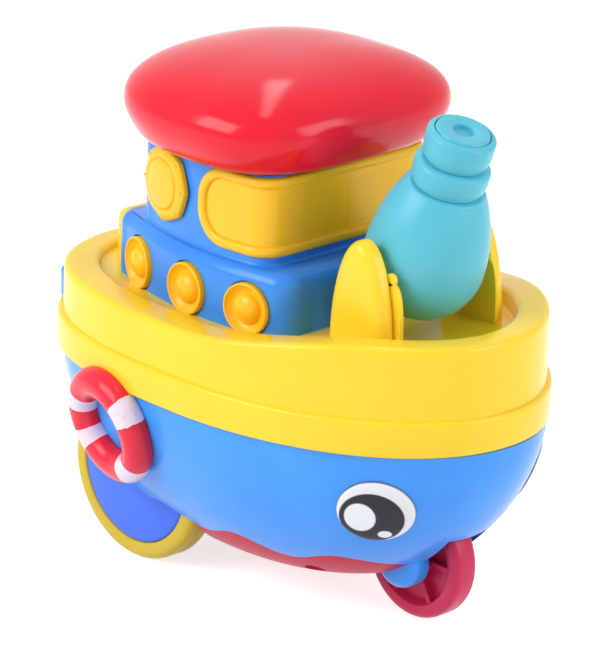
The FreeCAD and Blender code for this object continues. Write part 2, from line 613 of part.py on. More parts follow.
def shaft(label, radius, x, z, half):
    """A plain steel shaft across the boat, centred on the keel line."""
    item = doc.addObject("Part::Cylinder", label)
    item.Label = label
    item.Placement = FreeCAD.Placement(V(0, 0, 0), FreeCAD.Rotation(V(1, 0, 0), -90))
    item.setExpression("Radius", radius)
    item.setExpression("Height", half + " * 2")
    for axis, text in (("x", x), ("y", "-(%s)" % half), ("z", z)):
        item.setExpression("Placement.Base." + axis, text)
    parts.append(item)


shaft("drive_shaft", "Sizes.axle_radius", "Sizes.drive_x", "Sizes.drive_z", "(Sizes.plate_inner + 2)")
shaft("idler_shaft", "Sizes.axle_radius", "Sizes.idler_x", "Sizes.idler_z", "(Sizes.plate_inner + 2)")
shaft("clutch_shaft", "1.0", "Sizes.clutch_x", "Sizes.clutch_z", "(Sizes.plate_inner + 2)")
shaft("rear_axle", "Sizes.axle_radius", "Sizes.rear_axle_x", "Sizes.rear_axle_z", "(Sizes.rear_face - 2)")
shaft("front_axle", "Sizes.axle_radius", "Sizes.front_axle_x", "Sizes.front_radius", "(Sizes.fork_half - 1)")

pillar_places = [(-43.2, 52.0), (-3.0, 54.0), (-3.0, 16.0), (-42.0, 20.0)]
PILLAR_RADIUS, PILLAR_SCREW = 2.4, 1.0
slot_way = V(rear_x - clutch_x, 0, rear_z - clutch_z).normalize()
clutch_slot = union([rod(CLUTCH_SHAFT, clutch_x + slot_way.x * along, clutch_z + slot_way.z * along, -20, 20)
                     for along in (0.0, 0.4, 0.8, 1.2)])
plate_holes = [rod(size("axle_radius"), drive_x, drive_z, -20, 20), rod(size("axle_radius"), idler_x, idler_z, -20, 20),
               rod(bore, rear_x, rear_z, -20, 20), clutch_slot]
plate_holes += [rod(PILLAR_SCREW, x, z, -20, 20) for x, z in pillar_places]
for side, name in ((-1, "starboard"), (1, "port")):
    low, high = sorted((side * plate_inner, side * (plate_inner + 2)))
    plate = box(-47, 2, low, high, 8, 58).common(bowl_inner)
    for hole in plate_holes:
        plate = plate.cut(hole)
    feature("gearbox_plate_" + name, max(plate.Solids, key=lambda solid: solid.Volume))
bridge = box(-47, 2, -plate_inner - 2, plate_inner + 2, 58, 60.5)
bridge = bridge.cut(box(rod_x - rod_half - 2.6, rod_x + rod_half + ROD_GAP, -rod_half - ROD_GAP, rod_half + ROD_GAP,
                        50, 70))
bridge = bridge.cut(box(drive_x - 13.6, drive_x + 13.6, PORT_LANE[0] - 0.6, PORT_LANE[1] + 0.6, 50, 70))
feature("gearbox_bridge", bridge)
pillars = [rod(PILLAR_RADIUS, x, z, -plate_inner, plate_inner).cut(rod(PILLAR_SCREW, x, z, -20, 20))
           for x, z in pillar_places]
feature("gearbox_spacers", Part.makeCompound(pillars))
screws = [rod(PILLAR_SCREW, x, z, -SHAFT_END, 4).fuse(rod(2.2, x, z, -SHAFT_END - 1.6, -SHAFT_END))
          for x, z in pillar_places]
feature("gearbox_screws", Part.makeCompound(screws))


def upright_screw(x, y, seat_z, length):
    """A cross-head screw driven upwards; its head sits under seat_z."""
    head = post(HEAD_RADIUS, x, y, seat_z - 2.2, seat_z)
    head = head.cut(box(x - 1.8, x + 1.8, y - 0.35, y + 0.35, seat_z - 2.3, seat_z - 1.2))
    head = head.cut(box(x - 0.35, x + 0.35, y - 1.8, y + 1.8, seat_z - 2.3, seat_z - 1.2))
    return head.fuse(post(SCREW_RADIUS, x, y, seat_z, seat_z + length))


feature("keel_screws", Part.makeCompound([upright_screw(x, y, HEAD_SEAT, 16) for x, y in boss_places]))
feature("cabin_screws", Part.makeCompound([upright_screw(x, y, size("floor_underside"), 9)
                                           for x, y in cabin_screw_places]))

# ---------------------------------------------------------------- wheels
for side, name in ((-1, "starboard"), (1, "port")):
    turn = FreeCAD.Rotation(V(0, 0, 1), 0 if side > 0 else 180)
    disc = new_body("rear_disc_" + name)
    turned(disc, [("0", "-0.2"), ("Sizes.disc_radius", "-0.2"), ("Sizes.disc_radius", "-7"),
                  ("Sizes.disc_radius - 2", "-7"), ("Sizes.disc_radius - 2", "-3.4"), ("5", "-3.4"), ("5", "-8.6"),
                  ("Sizes.axle_radius", "-8.6"), ("Sizes.axle_radius", "-2"), ("0", "-2")])
    tyre = new_body("rear_tyre_" + name)
    turned(tyre, [("Sizes.disc_radius", "0"), ("Sizes.tyre_radius - 2.6", "0"), ("Sizes.tyre_radius - 0.9", "-0.9"),
                  ("Sizes.tyre_radius", "-2.8"), ("Sizes.tyre_radius", "2.8 - Sizes.tyre_width"),
                  ("Sizes.tyre_radius - 0.9", "0.9 - Sizes.tyre_width"),
                  ("Sizes.tyre_radius - 2.6", "-Sizes.tyre_width"), ("Sizes.disc_radius", "-Sizes.tyre_width")])
    for item in (disc, tyre):
        place(item, "Sizes.rear_axle_x", "Sizes.rear_face * %d" % side, "Sizes.rear_axle_z", turn)

front = new_body("front_wheel")
HALF = "Sizes.front_half_width"
turned(front, [("Sizes.axle_radius + Sizes.running_gap", "-" + HALF), ("5", "-" + HALF), ("5", "-1.2"),
               ("Sizes.front_recess", "-1.2"), ("Sizes.front_recess", "-" + HALF),
               ("Sizes.front_radius - 1.6", "-" + HALF), ("Sizes.front_radius", "1.6 - " + HALF),
               ("Sizes.front_radius", HALF + " - 1.6"), ("Sizes.front_radius - 1.6", HALF),
               ("Sizes.front_recess", HALF), ("Sizes.front_recess", "1.2"), ("5", "1.2"), ("5", HALF),
               ("Sizes.axle_radius + Sizes.running_gap", HALF)])
rib = outline_sketch(front, "XZ_Plane", [("4.5", "-0.8"), ("Sizes.front_recess + 0.5", "-0.8"),
                                         ("Sizes.front_recess + 0.5", "0.8"), ("4.5", "0.8")])
ribs = front.newObject("PartDesign::Pad", "front_wheel_rib")
ribs.Profile = rib
ribs.SideType = "Symmetric"
ribs.setExpression("Length", "Sizes.front_half_width * 2 - 1.6")
spokes = front.newObject("PartDesign::PolarPattern", "front_wheel_ribs")
spokes.Originals = [ribs]
spokes.Axis = (rib, ["N_Axis"])
spokes.Angle = 360
spokes.Occurrences = 6
front.Tip = spokes
place(front, "Sizes.front_axle_x", "0", "Sizes.front_radius")

# ---------------------------------------------------------------- water cannon
CANNON_TOP = 24.5
NECK_RADIUS = 11.2
lean = FreeCAD.Rotation(V(0, 1, 0), size("cannon_lean"))
pivot = V(size("pivot_x"), 0, size("pivot_z"))


def leaned(shape):
    """Takes a shape built upright about the pivot to its place on the boat."""
    return shape.transformed(FreeCAD.Placement(pivot, lean).toMatrix(), copy=True)


def egg(thin, top):
    """A ball below and a long taper above, made smaller all round by thin and cut off flat at top."""
    ball, neck_radius = size("cannon_radius") - thin, NECK_RADIUS - thin
    taper = ball - neck_radius
    long_radius = (taper * taper + top * top) / (2 * taper)
    middle = math.asin(top / long_radius) / 2
    foot, waist, neck = V(0, 0, -ball), V(ball, 0, 0), V(neck_radius, 0, top)
    shoulder = V(ball - long_radius + long_radius * math.cos(middle), 0, long_radius * math.sin(middle))
    belly = Part.Arc(foot, V(ball * math.sin(math.pi / 4), 0, -ball * math.cos(math.pi / 4)), waist).toShape()
    flank = Part.Arc(waist, shoulder, neck).toShape()
    edges = [belly, flank, Part.makeLine(neck, V(0, 0, top)), Part.makeLine(V(0, 0, top), foot)]
    return Part.Face(Part.Wire(edges)).revolve(V(0, 0, 0), V(0, 0, 1), 360)


CANNON_SKIN = 2.0
solid_egg = egg(0.0, CANNON_TOP)
pin_boss = Part.makeCylinder(size("pivot_radius") + 1.8, 60, V(0, -30, 0), V(0, 1, 0)).common(solid_egg)
pin_hole = Part.makeCylinder(size("pivot_radius"), 60, V(0, -30, 0), V(0, 1, 0))
feature("cannon_body", leaned(solid_egg.cut(egg(CANNON_SKIN, CANNON_TOP + 0.5)).fuse(pin_boss).cut(pin_hole)))


def collar(radius, z0, z1, rounding):
    ring = Part.makeCylinder(radius, z1 - z0, V(0, 0, z0))
    rims = [edge for edge in ring.Edges if edge.Closed and abs(edge.BoundBox.ZMin - edge.BoundBox.ZMax) < 0.01]
    return ring.makeFillet(rounding, rims)


feature("cannon_collar", leaned(collar(10.9, CANNON_TOP, 32.5, 1.2)))
cap = collar(9.9, 32.5, 41.8, 1.4).fuse(Part.makeCylinder(8.0, 1.4, V(0, 0, 41.2)))
cap = cap.cut(Part.makeCylinder(3.1, 3, V(0, 0, 40.8)))
feature("cannon_cap", leaned(cap))
PIN_END = 22.6
feature("cannon_pivot", rod(size("pivot_radius"), pivot.x, pivot.z, -PIN_END, PIN_END))

# ---------------------------------------------------------------- cannon brackets and stern box
BRACKET_BASE, BRACKET_HIGH, BRACKET_WIDE, BRACKET_X = 84.0, 31.0, 10.8, 42.2
RIB_HIGH, RIB_WIDE, RIB_X = 20.5, 6.8, 48.5
KNOB_RADIUS, KNOB_X, KNOB_Z = 1.9, 50.4, 105.0


def arch_plate(x, wide, high, y0, y1):
    """A plate with a half-elliptical top, standing across Y."""
    tip = V(x, y0, BRACKET_BASE + high)
    ellipse = Part.Ellipse(tip, V(x + wide, y0, BRACKET_BASE), V(x, y0, BRACKET_BASE))
    left, right = V(x - wide, y0, BRACKET_BASE), V(x + wide, y0, BRACKET_BASE)
    start, end = ellipse.parameter(left), ellipse.parameter(right)
    arc = Part.ArcOfEllipse(ellipse, min(start, end), max(start, end)).toShape()
    if abs(arc.BoundBox.ZMax - tip.z) > 0.5:
        arc = Part.ArcOfEllipse(ellipse, max(start, end), min(start, end) + 2 * math.pi).toShape()
    low = 79.0
    sides = [Part.makeLine(left, V(x - wide, y0, low)), Part.makeLine(V(x - wide, y0, low), V(x + wide, y0, low)),
             Part.makeLine(V(x + wide, y0, low), right)]
    return Part.Face(Part.Wire(Part.__sortEdges__([arc] + sides))).extrude(V(0, y1 - y0, 0))


for side, name in ((-1, "starboard"), (1, "port")):
    outer_y = side * (bracket_y + 7.0)
    plate = arch_plate(BRACKET_X, BRACKET_WIDE, BRACKET_HIGH, side * (bracket_y + 1.2), outer_y)
    rounds = [edge for edge in plate.Edges if edge.BoundBox.ZMax > BRACKET_BASE + 20
              and abs(edge.BoundBox.YMin - outer_y) < 0.01 and abs(edge.BoundBox.YMax - outer_y) < 0.01]
    plate = plate.makeFillet(3.4, rounds)
    rib_low, rib_high = side * bracket_y, side * (bracket_y + 1.4)
    rib = arch_plate(RIB_X, RIB_WIDE, RIB_HIGH, rib_low, rib_high)
    knob = rod(KNOB_RADIUS, KNOB_X, KNOB_Z, *sorted((rib_low, rib_high)))
    bracket = plate.fuse([rib, knob])
    bracket = bracket.cut(sheer_below(size("floor_low"), size("floor_rise"))).fuse(bracket_tabs[side])
    bracket = bracket.cut(tub)
    hole_low, hole_high = sorted((0, side * (PIN_END + 0.3)))
    bracket = bracket.cut(rod(size("pivot_radius") + size("running_gap"), pivot.x, pivot.z, hole_low, hole_high))
    feature("cannon_bracket_" + name, max(bracket.Solids, key=lambda solid: solid.Volume))

locker = box(size("box_aft"), size("box_fore"), -size("box_half"), size("box_half"), 80, size("box_top"))
locker_edges = [edge for edge in locker.Edges if edge.BoundBox.ZMax > 90 and edge.BoundBox.XMin < size("box_fore") - 1]
locker = locker.makeFillet(4.0, locker_edges).cut(sheer_below(size("floor_low"), size("floor_rise")))
feature("stern_box", max(locker.Solids, key=lambda solid: solid.Volume))


# ---------------------------------------------------------------- checks and files
doc.recompute()
for item in doc.Objects:
    bad = [state for state in item.State if state in ("Invalid", "Error")]
    if bad:
        raise RuntimeError("%s is %s" % (item.Label, bad))
os.makedirs("parts", exist_ok=True)
for item in parts:
    shape = item.Shape
    if shape.isNull() or not shape.isValid() or shape.Volume <= 0:
        raise RuntimeError("%s has no valid solid" % item.Label)
    shape.exportStep("parts/%s.step" % item.Label)
    print("%-28s %2d solid(s) %10.1f mm3" % (item.Label, len(shape.Solids), shape.Volume))
print(len(parts), "sub-parts")
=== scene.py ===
import bpy
import bmesh
import math
from mathutils import Matrix, Vector


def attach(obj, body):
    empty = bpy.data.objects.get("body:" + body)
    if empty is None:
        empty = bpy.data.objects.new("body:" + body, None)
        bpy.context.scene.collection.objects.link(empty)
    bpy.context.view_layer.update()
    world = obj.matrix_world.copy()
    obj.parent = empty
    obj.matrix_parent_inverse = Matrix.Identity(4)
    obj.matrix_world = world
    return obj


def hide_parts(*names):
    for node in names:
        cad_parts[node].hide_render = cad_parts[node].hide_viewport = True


# Press-and-go toy boat, moulded in glossy coloured plastic. Metres; +X is the bow, +Y is port, +Z is up.
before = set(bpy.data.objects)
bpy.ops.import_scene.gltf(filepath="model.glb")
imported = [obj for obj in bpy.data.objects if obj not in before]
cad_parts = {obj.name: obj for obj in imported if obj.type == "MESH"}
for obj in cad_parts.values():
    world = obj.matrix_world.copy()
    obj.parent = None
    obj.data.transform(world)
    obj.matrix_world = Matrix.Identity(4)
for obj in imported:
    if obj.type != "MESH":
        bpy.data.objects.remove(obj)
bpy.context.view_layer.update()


# ------------------------------------------------------------------ hull shell
# The deep blue bowl: one injection moulding, open at the top, where the deck tub closes it.
# Its lower edge is a wave, with the red keel pan below it, and each wheel has its slot.
def add_node(tree, kind, **values):
    """A shader node with some of its inputs set by name."""
    node = tree.nodes.new(kind)
    for name, value in values.items():
        node.inputs[name].default_value = value
    return node


def applied_mesh(item):
    """The item's mesh as its modifiers leave it."""
    bpy.context.view_layer.update()
    made = bpy.data.meshes.new_from_object(item.evaluated_get(bpy.context.evaluated_depsgraph_get()))
    item.modifiers.clear()
    item.data = made
    return made


def math_node(tree, operation, *values):
    """A maths node whose inputs are each a number or another node's output."""
    node = tree.nodes.new("ShaderNodeMath")
    node.operation = operation
    for socket, value in zip(node.inputs, values):
        if isinstance(value, (int, float)):
            socket.default_value = value
        else:
            tree.links.new(value, socket)
    return node.outputs[0]


def blended_colour(tree, mask, under, over):
    """A colour mix: under where the mask is 0, and over where it is 1. Each is a colour or an output."""
    mix = tree.nodes.new("ShaderNodeMix")
    mix.data_type = "RGBA"
    for name, value in (("Factor", mask), ("A", under), ("B", over)):
        if isinstance(value, tuple):
            mix.inputs[name].default_value = (*value, 1)
        else:
            tree.links.new(value, mix.inputs[name])
    return mix.outputs["Result"]


def moulded_plastic_group():
    """The finish all the mouldings share: clouded colour, rub marks in the gloss, and a fine orange peel."""
    tree = bpy.data.node_groups.new("moulded plastic skin", "ShaderNodeTree")
    for name, kind, value in (("Colour", "NodeSocketColor", (0.5, 0.5, 0.5, 1)),
                              ("Shade", "NodeSocketColor", (0.4, 0.4, 0.4, 1)),
                              ("Cloud size", "NodeSocketFloat", 40.0), ("Gloss", "NodeSocketFloat", 0.2),
                              ("Rub", "NodeSocketFloat", 0.1), ("Peel size", "NodeSocketFloat", 900.0)):
        tree.interface.new_socket(name=name, in_out="INPUT", socket_type=kind).default_value = value
    for name, kind in (("Colour", "NodeSocketColor"), ("Roughness", "NodeSocketFloat"),
                       ("Height", "NodeSocketFloat")):
        tree.interface.new_socket(name=name, in_out="OUTPUT", socket_type=kind)
    given, result = tree.nodes.new("NodeGroupInput"), tree.nodes.new("NodeGroupOutput")
    place = tree.nodes.new("ShaderNodeTexCoord")
    link = tree.links.new

    clouds = add_node(tree, "ShaderNodeTexNoise", Detail=3.0, Roughness=0.55)
    spread = add_node(tree, "ShaderNodeMapRange", **{"From Min": 0.3, "From Max": 0.7})
    link(place.outputs["Object"], clouds.inputs["Vector"])
    link(given.outputs["Cloud size"], clouds.inputs["Scale"])
    link(clouds.outputs["Fac"], spread.inputs["Value"])
    tint = blended_colour(tree, spread.outputs["Result"], given.outputs["Shade"], given.outputs["Colour"])
    link(tint, result.inputs["Colour"])

    stretch = add_node(tree, "ShaderNodeMapping", Scale=(1.0, 0.35, 2.2))
    marks = add_node(tree, "ShaderNodeTexNoise", Scale=260.0, Detail=5.0, Roughness=0.7, Distortion=1.6)
    rubbed = add_node(tree, "ShaderNodeMapRange", **{"From Min": 0.52, "From Max": 0.75})
    link(place.outputs["Object"], stretch.inputs["Vector"])
    link(stretch.outputs["Vector"], marks.inputs["Vector"])
    link(marks.outputs["Fac"], rubbed.inputs["Value"])
    link(given.outputs["Rub"], rubbed.inputs["To Max"])
    link(math_node(tree, "ADD", rubbed.outputs["Result"], given.outputs["Gloss"]), result.inputs["Roughness"])

    peel = add_node(tree, "ShaderNodeTexNoise", Detail=1.0)
    link(place.outputs["Object"], peel.inputs["Vector"])
    link(given.outputs["Peel size"], peel.inputs["Scale"])
    link(peel.outputs["Fac"], result.inputs["Height"])
    return tree


plastic_skin = moulded_plastic_group()


def plastic(name, colour, shade, gloss=0.2, rub=0.1, cloud_size=40.0, peel_size=900.0, peel_depth=0.03):
    """A moulded plastic with its own colour, and the darker shade that it clouds to."""
    material = bpy.data.materials.new(name)
    material.use_nodes = True
    tree = material.node_tree
    shader = tree.nodes["Principled BSDF"]
    skin = tree.nodes.new("ShaderNodeGroup")
    skin.node_tree = plastic_skin
    skin.name = "skin"
    for socket, value in (("Colour", (*colour, 1)), ("Shade", (*shade, 1)), ("Cloud size", cloud_size),
                          ("Gloss", gloss), ("Rub", rub), ("Peel size", peel_size)):
        skin.inputs[socket].default_value = value
    bump = add_node(tree, "ShaderNodeBump", Strength=peel_depth, Distance=0.0004)
    tree.links.new(skin.outputs["Colour"], shader.inputs["Base Color"])
    tree.links.new(skin.outputs["Roughness"], shader.inputs["Roughness"])
    tree.links.new(skin.outputs["Height"], bump.inputs["Height"])
    tree.links.new(bump.outputs["Normal"], shader.inputs["Normal"])
    shader.inputs["IOR"].default_value = 1.48
    shader.inputs["Specular IOR Level"].default_value = 0.3
    return material


def dress(node, material):
    """Gives a carried-over piece its finish."""
    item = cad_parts[node]
    item.data.materials.clear()
    item.data.materials.append(material)


hull_plastic = plastic("hull blue", (0.06, 0.35, 0.98), (0.05, 0.31, 0.93))
dress("hull_shell", hull_plastic)

# ------------------------------------------------------------------ keel pan
# The red bottom of the bowl, a separate moulding with a wavy edge. Four screws go up through its bosses into
# posts under the deck.
keel_plastic = plastic("keel red", (0.62, 0.015, 0.06), (0.56, 0.012, 0.05), gloss=0.36)
keel_plastic.node_tree.nodes["Principled BSDF"].inputs["Specular IOR Level"].default_value = 0.12
dress("keel_pan", keel_plastic)

# ------------------------------------------------------------------ front fork and arch liners
# The blue fork clips up into the hull and holds the front axle between its cheeks. Two half-round liners
# close the hull round the rear wheels.
for node in ("front_fork", "arch_liner_starboard", "arch_liner_port"):
    dress(node, hull_plastic)


# ------------------------------------------------------------------ deck tub
# The yellow upper hull in one moulding: a thick band that sits on the blue shell, a wall that rises to the
# bow, a broad rounded rim, and the well with the deck floor. It is screwed down to the keel pan.
HULL_TOP = 0.0599
BOW_POWER, STERN_POWER = 2.05, 2.7
TURNS = 192


def edge_point(n, fore, aft, half, bow=BOW_POWER, stern=STERN_POWER, centre=0.0):
    """Point n of an outline seen from above: rounder at the bow and squarer at the stern."""
    angle = 2 * math.pi * (n + 0.5) / TURNS
    across, along = math.sin(angle), math.cos(angle)
    reach, power = (fore, bow) if along > 0 else (aft, stern)
    return (centre + math.copysign(reach * abs(along) ** (2 / power), along),
            math.copysign(half * abs(across) ** (2 / power), across))


def joined_rings(name, rings, loop=False, ends=True):
    """A skin through rings of points. A loop joins the last ring to the first; otherwise both ends close."""
    count = len(rings[0])
    vertices = [point for ring in rings for point in ring]
    faces = []
    for row in range(len(rings) if loop else len(rings) - 1):
        low, high = row * count, (row + 1) % len(rings) * count
        for n in range(count):
            after = (n + 1) % count
            faces.append((low + n, low + after, high + after, high + n))
    if ends and not loop:
        for row in (0, len(rings) - 1):
            middle = sum((Vector(point) for point in rings[row]), Vector()) / count
            vertices.append(tuple(middle))
            hub = len(vertices) - 1
            faces += [(row * count + n, row * count + (n + 1) % count, hub) for n in range(count)]
    mesh = bpy.data.meshes.new(name)
    mesh.from_pydata(vertices, [], faces)
    tidy = bmesh.new()
    tidy.from_mesh(mesh)
    bmesh.ops.remove_doubles(tidy, verts=tidy.verts, dist=1e-7)
    bmesh.ops.recalc_face_normals(tidy, faces=tidy.faces)
    tidy.to_mesh(mesh)
    tidy.free()
    item = bpy.data.objects.new(name, mesh)
    bpy.context.scene.collection.objects.link(item)
    return item


def finished(item, material, body, slot, *nodes, sharp=35.0):
    """Shades a piece, and puts it in the place of its CAD nodes."""
    item.data.materials.clear()
    item.data.materials.append(material)
    item.data.shade_smooth()
    item.data.set_sharp_from_angle(angle=math.radians(sharp))
    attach(item, body)
    if nodes:
        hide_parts(*nodes)
    return item


BAND_REACH, BAND_HALF, BAND_TOP, BAND_STEP = 0.080, 0.0545, 0.0703, 0.0016
WELL_REACH, WELL_HALF = 0.0696, 0.0419
RIM_LOW, RIM_RISE, FLOOR_LOW, FLOOR_RISE, SHEER_RUN = 0.0843, 0.007, 0.082, 0.0033, 0.060
DECK_UNDERSIDE, RIM_ROUND = 0.0798, 0.0018


def sheer(x, low, rise):
    """A height that climbs smoothly from low amidships to low + rise at the bow."""
    run = min(max(x / SHEER_RUN, 0.0), 1.0)
    return low + rise * run * run * (3 - 2 * run)


def rim_height(x):
    return sheer(x, RIM_LOW, RIM_RISE)


def floor_height(x):
    return sheer(x, FLOOR_LOW, FLOOR_RISE)


def wall_height(x, share):
    """The share of the way up the wall, from the band to where the rim's rounding starts."""
    return BAND_TOP + share * (rim_height(x) - RIM_ROUND - BAND_TOP)


def band_ring(inset, height):
    """A ring inset from the band, at a height that may depend on x."""
    ring = [edge_point(n, BAND_REACH - inset, BAND_REACH - inset, BAND_HALF - inset) for n in range(TURNS)]
    return [(x, y, height(x)) for x, y in ring]


def well_ring(grow, height, share=1.0):
    """A ring grown from the rim's inner edge, or drawn in towards the middle of the deck."""
    reach, half = (WELL_REACH + grow) * share, (WELL_HALF + grow) * share
    ring = [edge_point(n, reach, reach, half) for n in range(TURNS)]
    return [(x, y, height(x)) for x, y in ring]


def quarter(radius, count=5):
    """Steps round a quarter circle: how far in, and how far below the top."""
    angles = [math.pi / 2 * k / count for k in range(count + 1)]
    return [(radius * (1 - math.cos(a)), radius * (1 - math.sin(a))) for a in angles]


tub_rings = [band_ring(0.0007, lambda x: HULL_TOP), band_ring(0.00015, lambda x: HULL_TOP + 0.0003),
             band_ring(0, lambda x: HULL_TOP + 0.001), band_ring(0, lambda x: 0.065)]
tub_rings += [band_ring(inset, lambda x, below=below: BAND_TOP - below) for inset, below in quarter(0.0012)]
tub_rings += [band_ring(BAND_STEP - 0.0001, lambda x: BAND_TOP),
              band_ring(BAND_STEP, lambda x: BAND_TOP + 0.0002)]
tub_rings += [band_ring(BAND_STEP, lambda x, share=share: wall_height(x, share))
              for share in (0.1, 0.3, 0.5, 0.7, 0.9)]
tub_rings += [band_ring(BAND_STEP + inset, lambda x, below=below: rim_height(x) - below)
              for inset, below in quarter(RIM_ROUND)]
tub_rings += [well_ring(grow, lambda x, below=below: rim_height(x) - below)
              for below, grow in quarter(RIM_ROUND)]
tub_rings += [well_ring(-inset, lambda x, above=above: floor_height(x) + above)
              for inset, above in quarter(0.0008, 3)]
tub_rings += [well_ring(0, floor_height, share) for share in (0.93, 0.8, 0.65, 0.45)]
tub_rings += [well_ring(0, lambda x: DECK_UNDERSIDE, share) for share in (0.45, 0.7, 0.95)]
tub_rings += [band_ring(BAND_STEP + 0.002, lambda x, z=z: z) for z in (DECK_UNDERSIDE, 0.07, HULL_TOP)]
tub = joined_rings("deck", tub_rings, loop=True)
deck_plastic = plastic("deck yellow", (1.0, 0.7, 0.035), (0.98, 0.66, 0.03))
finished(tub, deck_plastic, "hull", "deck_yellow", "deck_tub", sharp=50)

# ------------------------------------------------------------------ stern fender
# A slim blue strip pressed round the outside of the stern, level with the band's edge.
FENDER_LOW, FENDER_HIGH, FENDER_REACH = 0.0703, 0.0793, 0.036
band_edge = [edge_point(n, BAND_REACH, BAND_REACH, BAND_HALF) for n in range(TURNS)]
stern_run = [n for n, (x, y) in enumerate(band_edge) if x < 0 and abs(y) < FENDER_REACH]
fender_rings = []
for step, n in enumerate(stern_run):
    outer = Vector(band_edge[n])
    inner = Vector(edge_point(n, BAND_REACH - BAND_STEP, BAND_REACH - BAND_STEP, BAND_HALF - BAND_STEP))
    nearest_end = min(step, len(stern_run) - 1 - step)
    proud = min(1.0, 0.3 + nearest_end * 0.35)
    ring = []
    for k in range(16):
        angle = 2 * math.pi * k / 16
        out = 0.5 + 0.5 * math.copysign(abs(math.cos(angle)) ** 0.5, math.cos(angle))
        rise = 0.5 + 0.5 * proud ** 0.3 * math.copysign(abs(math.sin(angle)) ** 0.5, math.sin(angle))
        spot = inner + (outer - inner) * out * proud
        ring.append((spot.x, spot.y, FENDER_LOW + (FENDER_HIGH - FENDER_LOW) * rise))
    fender_rings.append(ring)
fender = joined_rings("fender", fender_rings)
finished(fender, hull_plastic, "hull", "hull_blue", "stern_fender")


# ------------------------------------------------------------------ roof cap
# The soft-looking red roof, hollow underneath. It is pushed down by hand, and its square rod drives the
# gears.
ROOF_X, ROOF_FORE, ROOF_AFT, ROOF_HALF = -0.0123, 0.0369, 0.0435, 0.0449
ROOF_BASE, ROOF_WIDEST, ROOF_HEIGHT, ROOF_INSET, ROOF_WALL = 0.1285, 0.1385, 0.0159, 0.0046, 0.0017
ROOF_BOW, ROOF_STERN, ROOF_ROUND = 3.13, 2.4, 2.32


def roof_ring(inset, z, share=1.0):
    """The roof seen from above, drawn in by inset and then scaled by share."""
    fore, aft, half = ((size - inset) * share for size in (ROOF_FORE, ROOF_AFT, ROOF_HALF))
    return [(*edge_point(n, fore, aft, half, ROOF_BOW, ROOF_STERN, ROOF_X), z) for n in range(TURNS)]


def roof_side(thin):
    """The flaring side, from the lower lip up to the widest line."""
    rows = []
    for step in range(8):
        share = step / 8
        rows.append(roof_ring(thin + ROOF_INSET * (1 - share) ** 1.6,
                              ROOF_BASE + share * (ROOF_WIDEST - ROOF_BASE)))
    return rows


def roof_crown(thin):
    """The dome above the widest line."""
    rows = []
    for step in range(24):
        angle = math.pi / 2 * (step / 24) ** 0.9
        share = math.cos(angle) ** (2 / ROOF_ROUND)
        z = ROOF_WIDEST + (ROOF_HEIGHT - thin) * math.sin(angle) ** (2 / ROOF_ROUND)
        rows.append(roof_ring(thin, z, share))
    return rows


roof_rings = roof_side(0.0) + roof_crown(0.0)
roof_rings[0] = roof_ring(ROOF_INSET + 0.0001, ROOF_BASE + 0.0004)
lip = [roof_ring(ROOF_INSET + 0.0006, ROOF_BASE), roof_ring(ROOF_INSET + 0.0012, ROOF_BASE)]
lining = roof_crown(ROOF_WALL)[::-1] + roof_side(ROOF_WALL)[:0:-1]
roof = joined_rings("roof", lining + lip[::-1] + roof_rings)
roof_plastic = plastic("roof red", (0.86, 0.008, 0.03), (0.8, 0.006, 0.025), gloss=0.16)
finished(roof, roof_plastic, "roof", "roof_red", "roof_cap")


# ------------------------------------------------------------------ water cannon
# A hollow egg with a stepped nozzle, in satin teal plastic: body, collar and cap are three turned shapes.
# It tilts on a pin between two brackets and stays where it is put.
PIVOT = Vector((0.0442, 0, 0.1058))
LEAN = Matrix.Rotation(math.radians(17.7), 3, "Y")
EGG_RADIUS, NECK_RADIUS, NECK_HEIGHT = 0.0174, 0.0112, 0.0245
COLLAR_RADIUS, COLLAR_TOP, CAP_RADIUS, CAP_TOP = 0.0109, 0.0325, 0.0099, 0.0418
CAP_FACE = ((0.00815, 0.0), (0.008, -0.0007), (0.0078, -0.0002), (0.0076, 0.0004), (0.0072, 0.0007),
            (0.0036, 0.0007), (0.0031, 0.0004), (0.003, -0.0008), (0.0002, -0.0009))


def circle(radius, sides):
    """Points round a circle, as (across, up)."""
    angles = [2 * math.pi * n / sides for n in range(sides)]
    return [(radius * math.cos(angle), radius * math.sin(angle)) for angle in angles]


def turned(name, profile, sides=128):
    """A solid turned about the cannon's own axis: profile holds (radius, height) from bottom to top."""
    rings = [[tuple(PIVOT + LEAN @ Vector((x, y, height))) for x, y in circle(radius, sides)]
             for radius, height in profile]
    return joined_rings(name, rings)


def rounded_corner(radius, height, size, count=5, top=True):
    """A quarter round between a turned wall and its flat end."""
    steps = []
    for k in range(count + 1):
        angle = math.pi / 2 * k / count
        out, up = radius - size + size * math.cos(angle), size * math.sin(angle)
        steps.append((out, height - size + up) if top else (out, height + size - up))
    return steps if top else list(reversed(steps))


taper = EGG_RADIUS - NECK_RADIUS
flank = (taper ** 2 + NECK_HEIGHT ** 2) / (2 * taper)
belly = [(EGG_RADIUS * math.cos(angle), EGG_RADIUS * math.sin(angle))
         for angle in [-math.pi / 2 * (1 - k / 24) for k in range(25)]]
belly[0] = (0.0002, -EGG_RADIUS)
side = [(EGG_RADIUS - flank + math.sqrt(flank ** 2 - (NECK_HEIGHT * k / 16) ** 2), NECK_HEIGHT * k / 16)
        for k in range(1, 16)]
egg = turned("cannon_egg", belly + side + rounded_corner(NECK_RADIUS + 0.0003, NECK_HEIGHT, 0.0009))
collar = turned("cannon_neck", rounded_corner(COLLAR_RADIUS - 0.0009, NECK_HEIGHT, 0.0006, top=False)
                + [(COLLAR_RADIUS - 0.0004, NECK_HEIGHT + 0.0015), (COLLAR_RADIUS, NECK_HEIGHT + 0.0035)]
                + rounded_corner(COLLAR_RADIUS, COLLAR_TOP, 0.0016))
